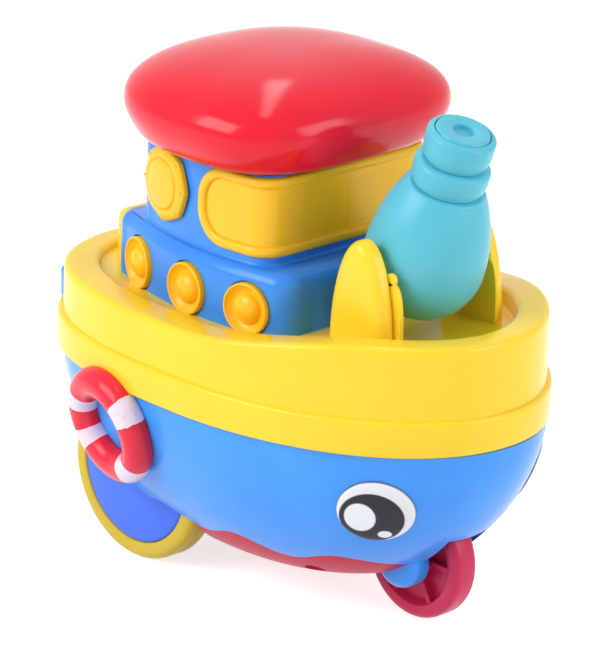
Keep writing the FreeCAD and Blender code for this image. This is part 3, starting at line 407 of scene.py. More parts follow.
cap = turned("cannon_nozzle", rounded_corner(CAP_RADIUS - 0.0012, COLLAR_TOP, 0.0006, top=False)
             + [(CAP_RADIUS - 0.0004, COLLAR_TOP + 0.0016), (CAP_RADIUS, COLLAR_TOP + 0.0042)]
             + rounded_corner(CAP_RADIUS, CAP_TOP, 0.0014)
             + [(radius, CAP_TOP + rise) for radius, rise in CAP_FACE])
teal_plastic = plastic("cannon teal", (0.12, 0.56, 0.7), (0.1, 0.51, 0.65), gloss=0.32, peel_depth=0.06)
for item, node in ((egg, "cannon_body"), (collar, "cannon_collar"), (cap, "cannon_cap")):
    finished(item, teal_plastic, "cannon", "cannon_teal", node)

# ------------------------------------------------------------------ cannon brackets
# Two yellow petals that stand on the deck and hold the cannon's pin. Each has a thin inner leaf and a small
# knob.
BRACKET_FOOT = 0.0800
LEAF_INNER, LEAF_OUTER, PETAL_OUTER = 0.0182, 0.0196, 0.0252
KNOB, KNOB_RADIUS = (0.0504, 0.1050), 0.0019
BRACKET_BASE, OUTLINE_STEPS = 0.084, 40
CROWNED = ((0.0, 0.03), (0.0, 0.94), (0.12, 1.0), (0.55, 1.0), (0.75, 0.96), (0.9, 0.86), (0.98, 0.68),
           (1.0, 0.4), (1.0, 0.03))
FLAT = ((0.0, 0.03), (0.0, 0.97), (0.25, 1.0), (0.75, 1.0), (1.0, 0.97), (1.0, 0.03))
KNOB_LAYERS = ((0.0, 0.02), (0.0, 0.85), (0.0001, 0.95), (0.0004, 1.0), (0.001, 1.0), (0.0013, 0.95),
               (0.0014, 0.85), (0.0014, 0.02))


def petal(name, x, wide, high, y_inner, y_outer, layers, side, power=2.0):
    """A pointed upright plate. Its layers hold (depth, size) from its inner face to its outer one."""
    rings = []
    for depth, size in layers:
        y = side * (y_inner + (y_outer - y_inner) * depth)
        ring = []
        for k in range(OUTLINE_STEPS + 1):
            angle = math.pi * k / OUTLINE_STEPS
            across = math.copysign(abs(math.cos(angle)) ** (2 / power), math.cos(angle))
            rise = abs(math.sin(angle)) ** (2 / power) * max(size, 0.05) ** 0.1
            ring.append((x + size * wide * across, y, BRACKET_BASE + (high - (1 - size) * wide * 0.8) * rise))
        ring += [(x - size * wide, y, BRACKET_FOOT), (x + size * wide, y, BRACKET_FOOT)]
        rings.append(ring)
    return joined_rings(name, rings)


for side, name in ((-1, "starboard"), (1, "port")):
    main = petal("bracket_" + name, 0.0422, 0.0108, 0.031, LEAF_OUTER - 0.0002, PETAL_OUTER, CROWNED, side)
    leaf = petal("bracket_leaf_" + name, 0.0490, 0.0063, 0.0205, LEAF_INNER, LEAF_OUTER, FLAT, side, 3.5)
    knob_rings = [[(KNOB[0] + x, side * (LEAF_INNER + out), KNOB[1] + z)
                   for x, z in circle(KNOB_RADIUS * size, 32)] for out, size in KNOB_LAYERS]
    for item in (main, leaf, joined_rings("bracket_knob_" + name, knob_rings)):
        finished(item, deck_plastic, "hull", "deck_yellow", "cannon_bracket_" + name)

# ------------------------------------------------------------------ cabin
# Two blue halves glued on the centre plane make the two-tier cabin, with a soft edge round each tier.
# The upper tier rises out of the lower one in a small fillet, and its top has the push rod's square hole.
def carve(item, *tools):
    """Cuts tools out of a piece and removes them."""
    for tool in tools:
        cut = item.modifiers.new("cut", "BOOLEAN")
        cut.operation, cut.solver, cut.object = "DIFFERENCE", "EXACT", tool
    applied_mesh(item)
    for tool in tools:
        bpy.data.objects.remove(tool)


def block(name, x0, x1, y0, y1, z0, z1):
    """A square block between two corners."""
    return joined_rings(name, [[(x0, y0, z), (x1, y0, z), (x1, y1, z), (x0, y1, z)] for z in (z0, z1)])


SIDE_ARC, SIDE_CROWN = 0.105, -0.007
CABIN_WALL = 0.0022
ROD_X, ROD_HOLE = -0.0123, 0.00535


def tier_side(x, half):
    """How far out a tier's bowed side is."""
    return half - (x - SIDE_CROWN) ** 2 / (2 * SIDE_ARC)


def tier_ring(fore, aft, half, z, inset, fore_round, aft_round, steps=9, run=28):
    """A tier seen from above: square ends with rounded corners, and gently bowed sides."""
    fore, aft, half = fore - inset, aft + inset, half - inset
    fore_round, aft_round = max(fore_round - inset, 0.0004), max(aft_round - inset, 0.0004)
    one_side = []
    for k in range(steps + 1):
        angle = math.pi / 2 * k / steps
        centre = aft + aft_round
        one_side.append((centre - aft_round * math.cos(angle),
                         tier_side(centre, half) - aft_round * (1 - math.sin(angle))))
    for k in range(1, run):
        x = aft + aft_round + (fore - fore_round - aft - aft_round) * k / run
        one_side.append((x, tier_side(x, half)))
    for k in range(steps + 1):
        angle = math.pi / 2 * (1 - k / steps)
        centre = fore - fore_round
        one_side.append((centre + fore_round * math.cos(angle),
                         tier_side(centre, half) - fore_round * (1 - math.sin(angle))))
    return [(x, -y, z) for x, y in one_side] + [(x, y, z) for x, y in reversed(one_side)]


def lower_ring(z, inset=0.0):
    return tier_ring(0.0234, -0.054, 0.0364, z, inset, 0.008, 0.005)


def upper_ring(z, inset=0.0):
    return tier_ring(0.0131, -0.0445, 0.0326, z, inset, 0.0075, 0.0065)


def rod_hole_ring(z):
    return tier_ring(ROD_X + ROD_HOLE, ROD_X - ROD_HOLE, ROD_HOLE, z, 0, 0.0003, 0.0003)


LOWER_TOP, UPPER_TOP, SEAT = 0.101, 0.1276, 0.081
LOWER_ROUND, LEDGE_INSET, FOOT_ROUND = 0.0046, 0.0028, 0.001
cabin_rings = [lower_ring(SEAT), lower_ring(0.085), lower_ring(0.092)]
rounding = [(inset, below) for inset, below in quarter(LOWER_ROUND, 14) if inset <= LEDGE_INSET]
cabin_rings += [lower_ring(LOWER_TOP - below, inset) for inset, below in rounding]
LEDGE = LOWER_TOP - rounding[-1][1]
for k in range(7):
    angle = math.pi / 2 * k / 6
    cabin_rings.append(upper_ring(LEDGE + FOOT_ROUND * (1 - math.cos(angle)),
                                  -FOOT_ROUND * (1 - math.sin(angle))))
cabin_rings += [upper_ring(z) for z in (0.106, 0.112, 0.118, 0.124)]
cabin_rings += [upper_ring(UPPER_TOP - below, inset) for inset, below in quarter(0.0012)]
cabin_rings += [rod_hole_ring(UPPER_TOP), rod_hole_ring(UPPER_TOP - CABIN_WALL)]
cabin_rings += [upper_ring(z, CABIN_WALL) for z in (UPPER_TOP - CABIN_WALL, LOWER_TOP - CABIN_WALL)]
cabin_rings += [lower_ring(z, CABIN_WALL) for z in (LOWER_TOP - CABIN_WALL - 0.0012, SEAT)]

PORT_RADIUS, PORT_HEIGHT, PORT_SINK, PORT_GAP = 0.0076, 0.0891, 0.0012, 0.0004
BIG_PORT_RADIUS, BIG_PORT_X, BIG_PORT_HEIGHT = 0.0113, -0.0288, 0.1153


def on_side(x, half, z, side):
    """A place on a tier's bowed side and the way that it faces."""
    facing = Vector(((x - SIDE_CROWN) / SIDE_ARC, side, 0)).normalized()
    return Vector((x, side * tier_side(x, half), z)), facing


def turned_on_side(name, profile, centre, facing, sides=72, edge=lambda angle: 1.0):
    """A round fitting turned about the way it faces: profile holds (radius, height), back to front."""
    along = Vector((0, 0, 1)).cross(facing).normalized()
    upward = facing.cross(along)
    rings = []
    for radius, height in profile:
        ring = []
        for n in range(sides):
            angle = 2 * math.pi * n / sides
            reach = radius * edge(angle) if radius > 0.8 * profile[1][0] else radius
            ring.append(tuple(centre + facing * height + along * reach * math.cos(angle)
                              + upward * reach * math.sin(angle)))
        rings.append(ring)
    return joined_rings(name, rings)


small_ports = [(which, name, *on_side(x, 0.0364, PORT_HEIGHT, side))
               for side, name in ((-1, "starboard"), (1, "port"))
               for x, which in ((-0.0387, "aft"), (-0.0136, "middle"), (0.0100, "fore"))]
cabin_plastic = plastic("cabin blue", (0.045, 0.29, 0.92), (0.04, 0.25, 0.86))
ROOM_RADIUS, ROOM_MOUTH = PORT_RADIUS + PORT_GAP, PORT_RADIUS + 3 * PORT_GAP
ROOM = ((ROOM_RADIUS, -PORT_SINK), (ROOM_RADIUS, -0.0002), (ROOM_MOUTH, 0.0006), (ROOM_MOUTH, 0.004))
SEAM = 0.00004


def other_half(side):
    """A block over everything on the far side of the boat's centre plane, seen from one side."""
    low, high = sorted((-side * 0.06, side * SEAM))
    return block("other_half", -0.07, 0.04, low, high, 0.07, 0.14)


for side, name in ((-1, "starboard"), (1, "port")):
    half = joined_rings("cabin_" + name, cabin_rings, loop=True)
    rooms = [turned_on_side("room", ROOM, centre, facing)
             for _, at, centre, facing in small_ports if at == name]
    carve(half, *rooms, other_half(side))
    finished(half, cabin_plastic, "hull", "cabin_blue", "cabin_" + name)

# ------------------------------------------------------------------ window
# An amber frame in two halves wraps round the front of the upper tier: a rounded bead with a sunk pane
# inside it.
WINDOW_LOW, WINDOW_HIGH, WINDOW_AFT = 0.1032, 0.1266, -0.0124
WINDOW_CORNER, BEAD, BEAD_PROUD, PANE_PROUD, WINDOW_BACK = 0.0105, 0.0032, 0.0016, 0.0003, -0.0008
wall_line = [Vector(point) for point in upper_ring(0)]
fore_middle = len(wall_line) // 2
wall_line = [Vector((0.0131, 0, 0))] + wall_line[fore_middle:]
wall_lengths = [0.0]
for before, after in zip(wall_line, wall_line[1:]):
    wall_lengths.append(wall_lengths[-1] + (after - before).length)


def along_wall(run, out, z, side):
    """A point a distance round the tier from the middle of its front, and out from the wall."""
    index = max(k for k in range(len(wall_lengths) - 1) if wall_lengths[k] <= run or k == 0)
    before, after = wall_line[index], wall_line[index + 1]
    share = (run - wall_lengths[index]) / (wall_lengths[index + 1] - wall_lengths[index])
    spot = before.lerp(after, share)

    def facing(k):
        way = (wall_line[min(k + 1, len(wall_line) - 1)] - wall_line[max(k - 1, 0)]).normalized()
        return Vector((way.y, -way.x, 0))
    normal = facing(index).lerp(facing(index + 1), share).normalized()
    if index == 0:
        normal = Vector((1, 0, 0)).lerp(facing(1), share).normalized()
    return (spot.x + out * normal.x, side * (spot.y + out * normal.y), z)


WINDOW_RUN = min(length for length, point in zip(wall_lengths, wall_line) if point.x <= WINDOW_AFT)


def window_ring(inset, out, corner_steps=14, run_steps=44):
    """The window's edge all the way round, drawn in by inset, with a rounded end on each side of the boat."""
    low, high, aft = WINDOW_LOW + inset, WINDOW_HIGH - inset, WINDOW_RUN - inset
    corner = max(min(WINDOW_CORNER - inset, (high - low) / 2), 0.0)
    track = [((aft - corner) * k / run_steps, high) for k in range(run_steps)]
    for k in range(corner_steps + 1):
        angle = math.pi / 2 * k / corner_steps
        track.append((aft - corner * (1 - math.sin(angle)), high - corner * (1 - math.cos(angle))))
    track += [(run, low + high - z) for run, z in reversed(track)]
    return ([along_wall(run, out, z, 1) for run, z in track]
            + [along_wall(run, out, z, -1) for run, z in reversed(track[1:-1])])


amber_plastic = plastic("window amber", (1.0, 0.57, 0.018), (0.97, 0.53, 0.015))
BEAD_ROWS = 10
WINDOW_HALF = (WINDOW_HIGH - WINDOW_LOW) / 2
rings = [window_ring(inset, WINDOW_BACK) for inset in (WINDOW_HALF, 0.009, 0.005, 0.0002)]
for k in range(BEAD_ROWS + 1):
    angle = math.pi * k / BEAD_ROWS
    base_out = 0.0001 if k < BEAD_ROWS / 2 else PANE_PROUD
    rings.append(window_ring(BEAD / 2 * (1 - math.cos(angle)),
                             base_out + (BEAD_PROUD - base_out) * math.sin(angle) ** 0.8))
rings += [window_ring(inset, PANE_PROUD) for inset in (0.0042, 0.0065, 0.009, 0.0105, WINDOW_HALF)]
for side, name in ((-1, "starboard"), (1, "port")):
    window = joined_rings("window_" + name, rings, ends=False)
    carve(window, other_half(side))
    finished(window, amber_plastic, "hull", "window_amber", "window_" + name, sharp=60)

# ------------------------------------------------------------------ small portholes
# Three amber portholes on each side of the lower tier: a thin raised rim, a dished ring and a round glass.
RIM, RIM_BEAD, DISH_DEPTH = 0.0022, 0.0004, 0.0014
GLASS, GLASS_FOOT, GLASS_RISE = PORT_RADIUS * 0.59, 0.0008, 0.0027
port_profile = [(0.0001, 0), (PORT_RADIUS, 0), (PORT_RADIUS, RIM)]
port_profile += [(PORT_RADIUS - RIM_BEAD + RIM_BEAD * math.cos(a), RIM + RIM_BEAD * math.sin(a))
                 for a in [math.pi * k / 6 for k in range(1, 7)]]
port_profile += [(PORT_RADIUS * (0.88 - 0.26 * k / 5), RIM - DISH_DEPTH * math.sin(math.pi / 2 * k / 5))
                 for k in range(1, 6)]
port_profile += [(GLASS * math.cos(a), GLASS_FOOT + GLASS_RISE * math.sin(a))
                 for a in [math.pi / 2 * k / 10 for k in range(10)]]
port_profile.append((0.0001, 0.0035))
for which, name, centre, facing in small_ports:
    label = "porthole_%s_%s" % (which, name)
    fitting = turned_on_side(label, port_profile, centre - facing * PORT_SINK, facing)
    finished(fitting, amber_plastic, "hull", "window_amber", label, sharp=50)


# ------------------------------------------------------------------ big portholes
# A large amber porthole on each side of the upper tier: a scalloped flange with a rivet at each of its
# eight lobes, round a slightly domed glass. The rivets are one small dome repeated round a circle.
def ring_of_copies_tree():
    """Repeats what it is given round a circle in the plane of X and Y."""
    tree = bpy.data.node_groups.new("ring of copies", "GeometryNodeTree")
    for name, kind in (("Item", "NodeSocketGeometry"), ("Copies", "NodeSocketInt"),
                       ("Radius", "NodeSocketFloat"), ("Finish", "NodeSocketMaterial")):
        tree.interface.new_socket(name=name, in_out="INPUT", socket_type=kind)
    tree.interface.new_socket(name="Ring", in_out="OUTPUT", socket_type="NodeSocketGeometry")
    given, result = tree.nodes.new("NodeGroupInput"), tree.nodes.new("NodeGroupOutput")
    spots = tree.nodes.new("GeometryNodeMeshCircle")
    place = tree.nodes.new("GeometryNodeInstanceOnPoints")
    index = tree.nodes.new("GeometryNodeInputIndex")
    spin = tree.nodes.new("ShaderNodeCombineXYZ")
    realize = tree.nodes.new("GeometryNodeRealizeInstances")
    coat = tree.nodes.new("GeometryNodeSetMaterial")
    link = tree.links.new
    link(given.outputs["Copies"], spots.inputs["Vertices"])
    link(given.outputs["Radius"], spots.inputs["Radius"])
    link(spots.outputs["Mesh"], place.inputs["Points"])
    link(given.outputs["Item"], place.inputs["Instance"])
    share = math_node(tree, "DIVIDE", index.outputs["Index"], given.outputs["Copies"])
    link(math_node(tree, "MULTIPLY", share, 2 * math.pi), spin.inputs["Z"])
    link(spin.outputs["Vector"], place.inputs["Rotation"])
    link(place.outputs["Instances"], realize.inputs["Geometry"])
    link(realize.outputs["Geometry"], coat.inputs["Geometry"])
    link(given.outputs["Finish"], coat.inputs["Material"])
    link(coat.outputs["Geometry"], result.inputs["Ring"])
    return tree


copies_tree = ring_of_copies_tree()


def ring_of_copies(item, copies, radius, material, place):
    """Repeats an item round a circle, and puts the ring in its place on the boat."""
    ring = item.modifiers.new("ring", "NODES")
    ring.node_group = copies_tree
    sockets = {socket.name: socket.identifier for socket in copies_tree.interface.items_tree}
    for name, value in (("Copies", copies), ("Radius", radius), ("Finish", material)):
        ring[sockets[name]] = value
    applied_mesh(item).transform(place)


def standing(centre, facing):
    """Turns +Z to a facing, with the circle's plane across it, and moves the origin to centre."""
    along = Vector((0, 0, 1)).cross(facing).normalized()
    turn = Matrix((along, facing.cross(along), facing)).transposed()
    return Matrix.Translation(centre) @ turn.to_4x4()


FLANGE_AND_GLASS = ((1, 0), (1, 0.0009), (0.99, 0.0012), (0.97, 0.0015), (0.93, 0.00175), (0.85, 0.002),
                    (0.75, 0.00225), (0.705, 0.00228), (0.685, 0.0021), (0.67, 0.0019), (0.655, 0.0021),
                    (0.635, 0.0025), (0.6, 0.00265), (0.45, 0.0028), (0.25, 0.0029))
big_profile = [(BIG_PORT_RADIUS * share, height) for share, height in FLANGE_AND_GLASS]
big_profile = [(0.0001, 0)] + big_profile + [(0.0001, 0.00295)]
RIVET = 0.00042
rivet_rings = [[(x, y, height) for x, y in circle(size, 10)]
               for size, height in ((RIVET, -0.0004), (RIVET, 0.0001), (RIVET * 0.6, 0.0003))]
for side, name in ((-1, "starboard"), (1, "port")):
    centre, facing = on_side(BIG_PORT_X, 0.0326, BIG_PORT_HEIGHT, side)
    centre = centre + facing * 0.0001
    flange = turned_on_side("big_porthole_" + name, big_profile, centre, facing, sides=192,
                            edge=lambda angle: 1 - 0.05 * abs(math.sin(4 * angle)) ** 0.75)
    finished(flange, amber_plastic, "hull", "window_amber", "big_porthole_" + name, sharp=60)
    rivets = joined_rings("porthole_rivets_" + name, rivet_rings)
    ring_of_copies(rivets, 8, BIG_PORT_RADIUS * 0.88, amber_plastic,
                   standing(centre + facing * 0.0019, facing))
    finished(rivets, amber_plastic, "hull", "window_amber", "big_porthole_" + name)

# ------------------------------------------------------------------ stern box
# A plain yellow locker on the stern deck, with a lid line and soft edges. It closes the deck behind the
# cabin.
BOX_AFT, BOX_FORE, BOX_HALF, BOX_TOP, LID = -0.066, -0.054, 0.018, 0.096, 0.0915


def box_ring(z, inset=0.0, corner=0.004, steps=6):
    """The locker seen from above: square against the cabin, rounded at the stern."""
    aft, fore, half = BOX_AFT + inset, BOX_FORE - 0.00005, BOX_HALF - inset
    corner = max(corner - inset, 0.0004)
    quarter_turn = [math.pi / 2 * k / steps for k in range(steps + 1)]
    starboard = [(aft + corner * (1 - math.sin(a)), -half + corner * (1 - math.cos(a)))
                 for a in reversed(quarter_turn)]
    return ([(fore, half, z), (aft + 0.008, half, z)] + [(x, -y, z) for x, y in reversed(starboard)]
            + [(x, y, z) for x, y in starboard] + [(aft + 0.008, -half, z), (fore, -half, z)])


locker_rings = [box_ring(0.0812), box_ring(0.086), box_ring(LID - 0.0003), box_ring(LID - 0.0002, 0.0003),
                box_ring(LID + 0.0002, 0.0003), box_ring(LID + 0.0003), box_ring(0.093)]
locker_rings += [box_ring(BOX_TOP - below, inset) for inset, below in quarter(0.003, 6)]
locker = joined_rings("locker", locker_rings)
finished(locker, deck_plastic, "hull", "deck_yellow", "stern_box")


# ------------------------------------------------------------------ eyes
# Two printed plastic discs let into the bow: white, with a large black iris, two highlights and a thin dark
# rim. Each is a low dome that follows the hull's curve.
HULL_FORE, HULL_AFT, HULL_HALF, HULL_BASE = 0.080, 0.079, 0.0526, 0.00726


def inside_hull(point):
    """Below 1 inside the bowl or the deck's band, and above 1 outside them."""
    x, y, z = point
    power = BOW_POWER if x > 0 else STERN_POWER
    depth = (0.06 - min(z, 0.059999)) / (0.06 - HULL_BASE)
    scale = max(1 - max(depth, 0.0) ** 1.57, 1e-4) ** (1 / 3.09)
    reach = (HULL_FORE if x > 0 else HULL_AFT) * scale
    bowl_value = abs(x / reach) ** power + abs(y / (HULL_HALF * scale)) ** power
    band_value = abs(x / BAND_REACH) ** power + abs(y / BAND_HALF) ** power
    return min(bowl_value, band_value) if HULL_TOP <= z <= BAND_TOP else bowl_value


def out_to_hull(point, facing, reach=0.02):
    """The first place on the hull's skin from a point inside it, going the way it faces."""
    low, high = -reach, reach
    for _ in range(26):
        middle = (low + high) / 2
        if inside_hull(point + facing * middle) < 1:
            low = middle
        else:
            high = middle
    return point + facing * low


EYE_RADIUS, EYE_RAISE = 0.0110, 0.0009
EYE_PROFILE = ((1.0, -0.0006), (1.0, 0.0), (0.998, 0.0003), (0.988, 0.00055), (0.97, 0.0007), (0.94, 0.0008),
               (0.85, EYE_RAISE), (0.7, EYE_RAISE), (0.55, EYE_RAISE), (0.4, EYE_RAISE), (0.25, EYE_RAISE),
               (0.1, EYE_RAISE), (0.004, EYE_RAISE))


def eye_paint():
    """White, iris, highlights and rim: soft-edged ellipses on the eye's UV map, whose middle is 0.5."""
    material = plastic("eye print", (0.88, 0.88, 0.9), (0.84, 0.84, 0.87), gloss=0.14, rub=0.06)
    tree = material.node_tree
    link = tree.links.new
    shader = tree.nodes["Principled BSDF"]
    flat = tree.nodes.new("ShaderNodeUVMap")
    flat.uv_map = "face"

    def ellipse(across, up, wide, high, soft):
        place = tree.nodes.new("ShaderNodeMapping")
        place.vector_type = "TEXTURE"
        place.inputs["Location"].default_value = (0.5 + 0.5 * across, 0.5 + 0.5 * up, 0)
        place.inputs["Scale"].default_value = (0.5 * wide, 0.5 * high, 1)
        far = tree.nodes.new("ShaderNodeVectorMath")
        far.operation = "LENGTH"
        edge = add_node(tree, "ShaderNodeMapRange", **{"From Min": 1 - soft, "From Max": 1 + soft,
                                                       "To Min": 1.0, "To Max": 0.0})
        link(flat.outputs["UV"], place.inputs["Vector"])
        link(place.outputs["Vector"], far.inputs[0])
        link(far.outputs["Value"], edge.inputs["Value"])
        return edge.outputs["Result"]

    colour = tree.nodes["skin"].outputs["Colour"]
    for shape, paint in ((IRIS, IRIS_BLACK), (LARGE_LIGHT, LIGHT_WHITE), (SMALL_LIGHT, LIGHT_WHITE)):
        colour = blended_colour(tree, ellipse(*shape), colour, paint)
    outside = math_node(tree, "SUBTRACT", 1.0, ellipse(*WHITE_EDGE))
    link(blended_colour(tree, outside, colour, RIM_BLUE), shader.inputs["Base Color"])
    return material


IRIS = (-0.10, -0.16, 0.83, 0.83, 0.02)
LARGE_LIGHT = (-0.39, -0.13, 0.40, 0.47, 0.04)
SMALL_LIGHT = (0.20, -0.72, 0.175, 0.13, 0.1)
WHITE_EDGE = (0.0, 0.0, 0.985, 0.985, 0.012)
IRIS_BLACK, LIGHT_WHITE, RIM_BLUE = (0.012, 0.012, 0.022), (0.92, 0.92, 0.95), (0.09, 0.12, 0.25)
eye_plastic = eye_paint()
for side, name in ((-1, "starboard"), (1, "port")):
    facing = Vector((0.62, side * 1.0, -0.42)).normalized()
    along = Vector((1.0, -side * 0.62, 0)).normalized()
    upward = Vector((-facing.x * facing.z, -facing.y * facing.z, facing.x ** 2 + facing.y ** 2)).normalized()
    centre = Vector((0.0596, side * 0.0309, 0.0418))
    rings = []
    for share, rise in EYE_PROFILE:
        ring = []
        for n in range(96):
            angle = 2 * math.pi * n / 96
            spot = centre + EYE_RADIUS * share * (along * math.cos(angle) + upward * math.sin(angle))
            ring.append(tuple(out_to_hull(spot, facing) + facing * rise))
        rings.append(ring)
    eye = joined_rings("eye_" + name, rings)
    face = eye.data.uv_layers.new(name="face")
    for loop in eye.data.loops:
        from_middle = (eye.data.vertices[loop.vertex_index].co - centre) / EYE_RADIUS
        face.data[loop.index].uv = (0.5 + 0.5 * from_middle.dot(along), 0.5 + 0.5 * from_middle.dot(upward))
    finished(eye, eye_plastic, "hull", "eye_white", "eye_" + name, sharp=50)

# ------------------------------------------------------------------ lifebuoys
# A fat red ring pressed on to each side of the hull, with four white bands painted by hand, so their edges
# wander. BANDS holds each band's middle and half its length, in degrees round the ring.
RING_RADIUS, RING_TUBE = 0.0134, 0.0046
RING_TURNS, TUBE_TURNS = 144, 48
BANDS = ((37.0, 13.5), (157.0, 12.5), (213.0, 12.5), (311.0, 15.0))


def band_paint():
    """Red plastic under white paint that is a little ragged and scuffed at its edges."""
    material = plastic("ring red", (0.88, 0.022, 0.05), (0.8, 0.018, 0.045), gloss=0.2)
    tree = material.node_tree
    link = tree.links.new
    shader = tree.nodes["Principled BSDF"]
    wrap = tree.nodes.new("ShaderNodeUVMap")
    wrap.uv_map = "wrap"
    around = tree.nodes.new("ShaderNodeSeparateXYZ")
    link(wrap.outputs["UV"], around.inputs["Vector"])
    place = tree.nodes.new("ShaderNodeTexCoord")
    wander = add_node(tree, "ShaderNodeTexNoise", Scale=700.0, Detail=4.0, Roughness=0.65)
    link(place.outputs["Object"], wander.inputs["Vector"])
    drift = add_node(tree, "ShaderNodeMapRange", **{"To Min": -0.005, "To Max": 0.005})
    link(wander.outputs["Fac"], drift.inputs["Value"])
    angle = math_node(tree, "ADD", around.outputs["X"], drift.outputs["Result"])
    mask = 0.0
    for middle, half in BANDS:
        near = math_node(tree, "COMPARE", angle, middle / 360, half / 360)
        mask = math_node(tree, "MAXIMUM", mask, near)
    scuffs = add_node(tree, "ShaderNodeTexNoise", Scale=260.0, Detail=6.0, Roughness=0.75)
    link(place.outputs["Object"], scuffs.inputs["Vector"])
    worn = add_node(tree, "ShaderNodeMapRange", **{"From Min": 0.56, "From Max": 0.78})
    link(scuffs.outputs["Fac"], worn.inputs["Value"])
    paint = blended_colour(tree, worn.outputs["Result"], (0.84, 0.72, 0.84), (0.6, 0.47, 0.58))
    red = tree.nodes["skin"].outputs["Colour"]
    link(blended_colour(tree, mask, red, paint), shader.inputs["Base Color"])
    return material


ring_plastic = band_paint()
for side, name in ((-1, "starboard"), (1, "port")):
    facing = Vector((-0.151, side * 1.0, -0.26)).normalized()
    along = (Vector((1, 0, 0)) - facing * facing.x).normalized()
    upward = facing.cross(along) * -side
    centre = Vector((-0.0285, side * 0.0507, 0.0467))
    rings = []
    for turn in range(RING_TURNS):
        angle = 2 * math.pi * turn / RING_TURNS
        outward = along * math.cos(angle) + upward * math.sin(angle)
        ring = []
        for k in range(TUBE_TURNS):
            lean = 2 * math.pi * k / TUBE_TURNS
            reach = RING_RADIUS + RING_TUBE * math.cos(lean)
            spot = centre + outward * reach + facing * RING_TUBE * math.sin(lean)
            if inside_hull(spot) < 1:
                spot = out_to_hull(spot, facing)
            ring.append(tuple(spot))
        rings.append(ring)
    buoy = joined_rings("lifebuoy_" + name, rings, loop=True)
    wrap = buoy.data.uv_layers.new(name="wrap")
    for face in buoy.data.polygons:
        middle = face.center - centre
        face_turn = math.atan2(middle.dot(upward), middle.dot(along)) / (2 * math.pi) % 1
        for index in face.loop_indices:
            spot = buoy.data.vertices[buoy.data.loops[index].vertex_index].co - centre
            turn = math.atan2(spot.dot(upward), spot.dot(along)) / (2 * math.pi) % 1
            turn += round(face_turn - turn)
            wrap.data[index].uv = (turn, 0.5)
    finished(buoy, ring_plastic, "hull", "ring_red", "lifebuoy_" + name, sharp=60)

# ------------------------------------------------------------------ rear wheels
# Two big wheels pressed on to the steel rear axle: a blue disc, flush in a satin yellow tyre with rounded
# shoulders and a shallow groove round the tread.
REAR_AXLE, FRONT_AXLE = (-0.035, 0.0266), (0.0484, 0.0183)
TYRE, DISC, FACE, WIDE = 0.0266, 0.0215, 0.0355, 0.0090


def wheel_rings(profile, place, side, offset, sides=160):
    """A wheel turned across the boat: profile holds (radius, distance in from its face)."""
    return [[(place[0] + x, side * (offset - depth), place[1] + z) for x, z in circle(radius, sides)]
            for radius, depth in profile]


def bent(corner, start, size, count=6):
    """A quarter round from a wheel's face over to its tread; start is the face's depth there."""
    return [(corner - size * (1 - math.sin(a)), start + size * (1 - math.cos(a)))
            for a in [math.pi / 2 * k / count for k in range(count + 1)]]


tyre_profile = [(DISC, WIDE - 0.0003), (DISC, 0.0006), (DISC + 0.0002, 0.00015), (DISC + 0.0006, 0.0)]
tyre_profile += bent(TYRE, 0.0, 0.0024) + [(TYRE, 0.0040), (TYRE - 0.0003, 0.0043), (TYRE - 0.0004, 0.0048),
                                           (TYRE - 0.0004, 0.0053), (TYRE - 0.0001, 0.0056)]
tyre_profile += [(radius, WIDE - depth) for radius, depth in reversed(bent(TYRE, 0.0, 0.0018))]
tyre_profile += [(DISC + 0.0003, WIDE)]
disc_profile = [(0.0002, 0.0), (0.006, 0.0), (0.012, 0.0), (DISC - 0.0012, 0.00005), (DISC - 0.0004, 0.0003),
                (DISC - 0.0001, 0.0007), (DISC - 0.0001, 0.0070), (DISC - 0.002, 0.0070),
                (DISC - 0.002, 0.0034), (0.005, 0.0034), (0.005, 0.0086), (0.00152, 0.0086),
                (0.00152, 0.0021), (0.0002, 0.0021)]
disc_plastic = plastic("wheel blue", (0.07, 0.19, 0.92), (0.06, 0.17, 0.85), gloss=0.34, rub=0.16)
tyre_plastic = plastic("tyre yellow", (0.72, 0.52, 0.04), (0.66, 0.47, 0.035), gloss=0.36, rub=0.16)
for side, name in ((-1, "starboard"), (1, "port")):
    tyre = joined_rings("tyre_" + name, wheel_rings(tyre_profile, REAR_AXLE, side, FACE), loop=True)
    finished(tyre, tyre_plastic, "rear_wheels", "tyre_yellow", "rear_tyre_" + name, sharp=50)
    disc = joined_rings("disc_" + name, wheel_rings(disc_profile, REAR_AXLE, side, FACE - 0.0001))
    finished(disc, disc_plastic, "rear_wheels", "wheel_blue", "rear_disc_" + name, sharp=50)

# ------------------------------------------------------------------ front wheel
# One red wheel in the fork under the bow: a rounded tread, a thin web in the middle and six ribs on each
# side.
FRONT_RADIUS, FRONT_HALF, FRONT_RECESS, HUB, WEB = 0.0183, 0.0043, 0.0139, 0.0052, 0.0012
face_to_web = [(FRONT_RADIUS - 0.0022 * (1 - math.cos(a)), FRONT_HALF - 0.0022 * (1 - math.sin(a)))
               for a in [math.pi / 2 * k / 6 for k in range(7)]]
face_to_web += [(FRONT_RECESS + 0.0006, FRONT_HALF), (FRONT_RECESS + 0.0001, FRONT_HALF - 0.0004),
                (FRONT_RECESS - 0.0003, WEB + 0.0006), (FRONT_RECESS - 0.0008, WEB), (HUB + 0.0006, WEB),
                (HUB, WEB + 0.0006), (HUB - 0.0001, FRONT_HALF - 0.0006), (HUB - 0.0006, FRONT_HALF),
                (0.0016, FRONT_HALF)]
front_profile = [(radius, -half) for radius, half in reversed(face_to_web)] + face_to_web
wheel_plastic = plastic("wheel red", (0.68, 0.025, 0.1), (0.6, 0.02, 0.08), gloss=0.3, rub=0.14)
front_wheel = joined_rings("front_wheel_tread", wheel_rings(front_profile, FRONT_AXLE, 1, 0.0), loop=True)
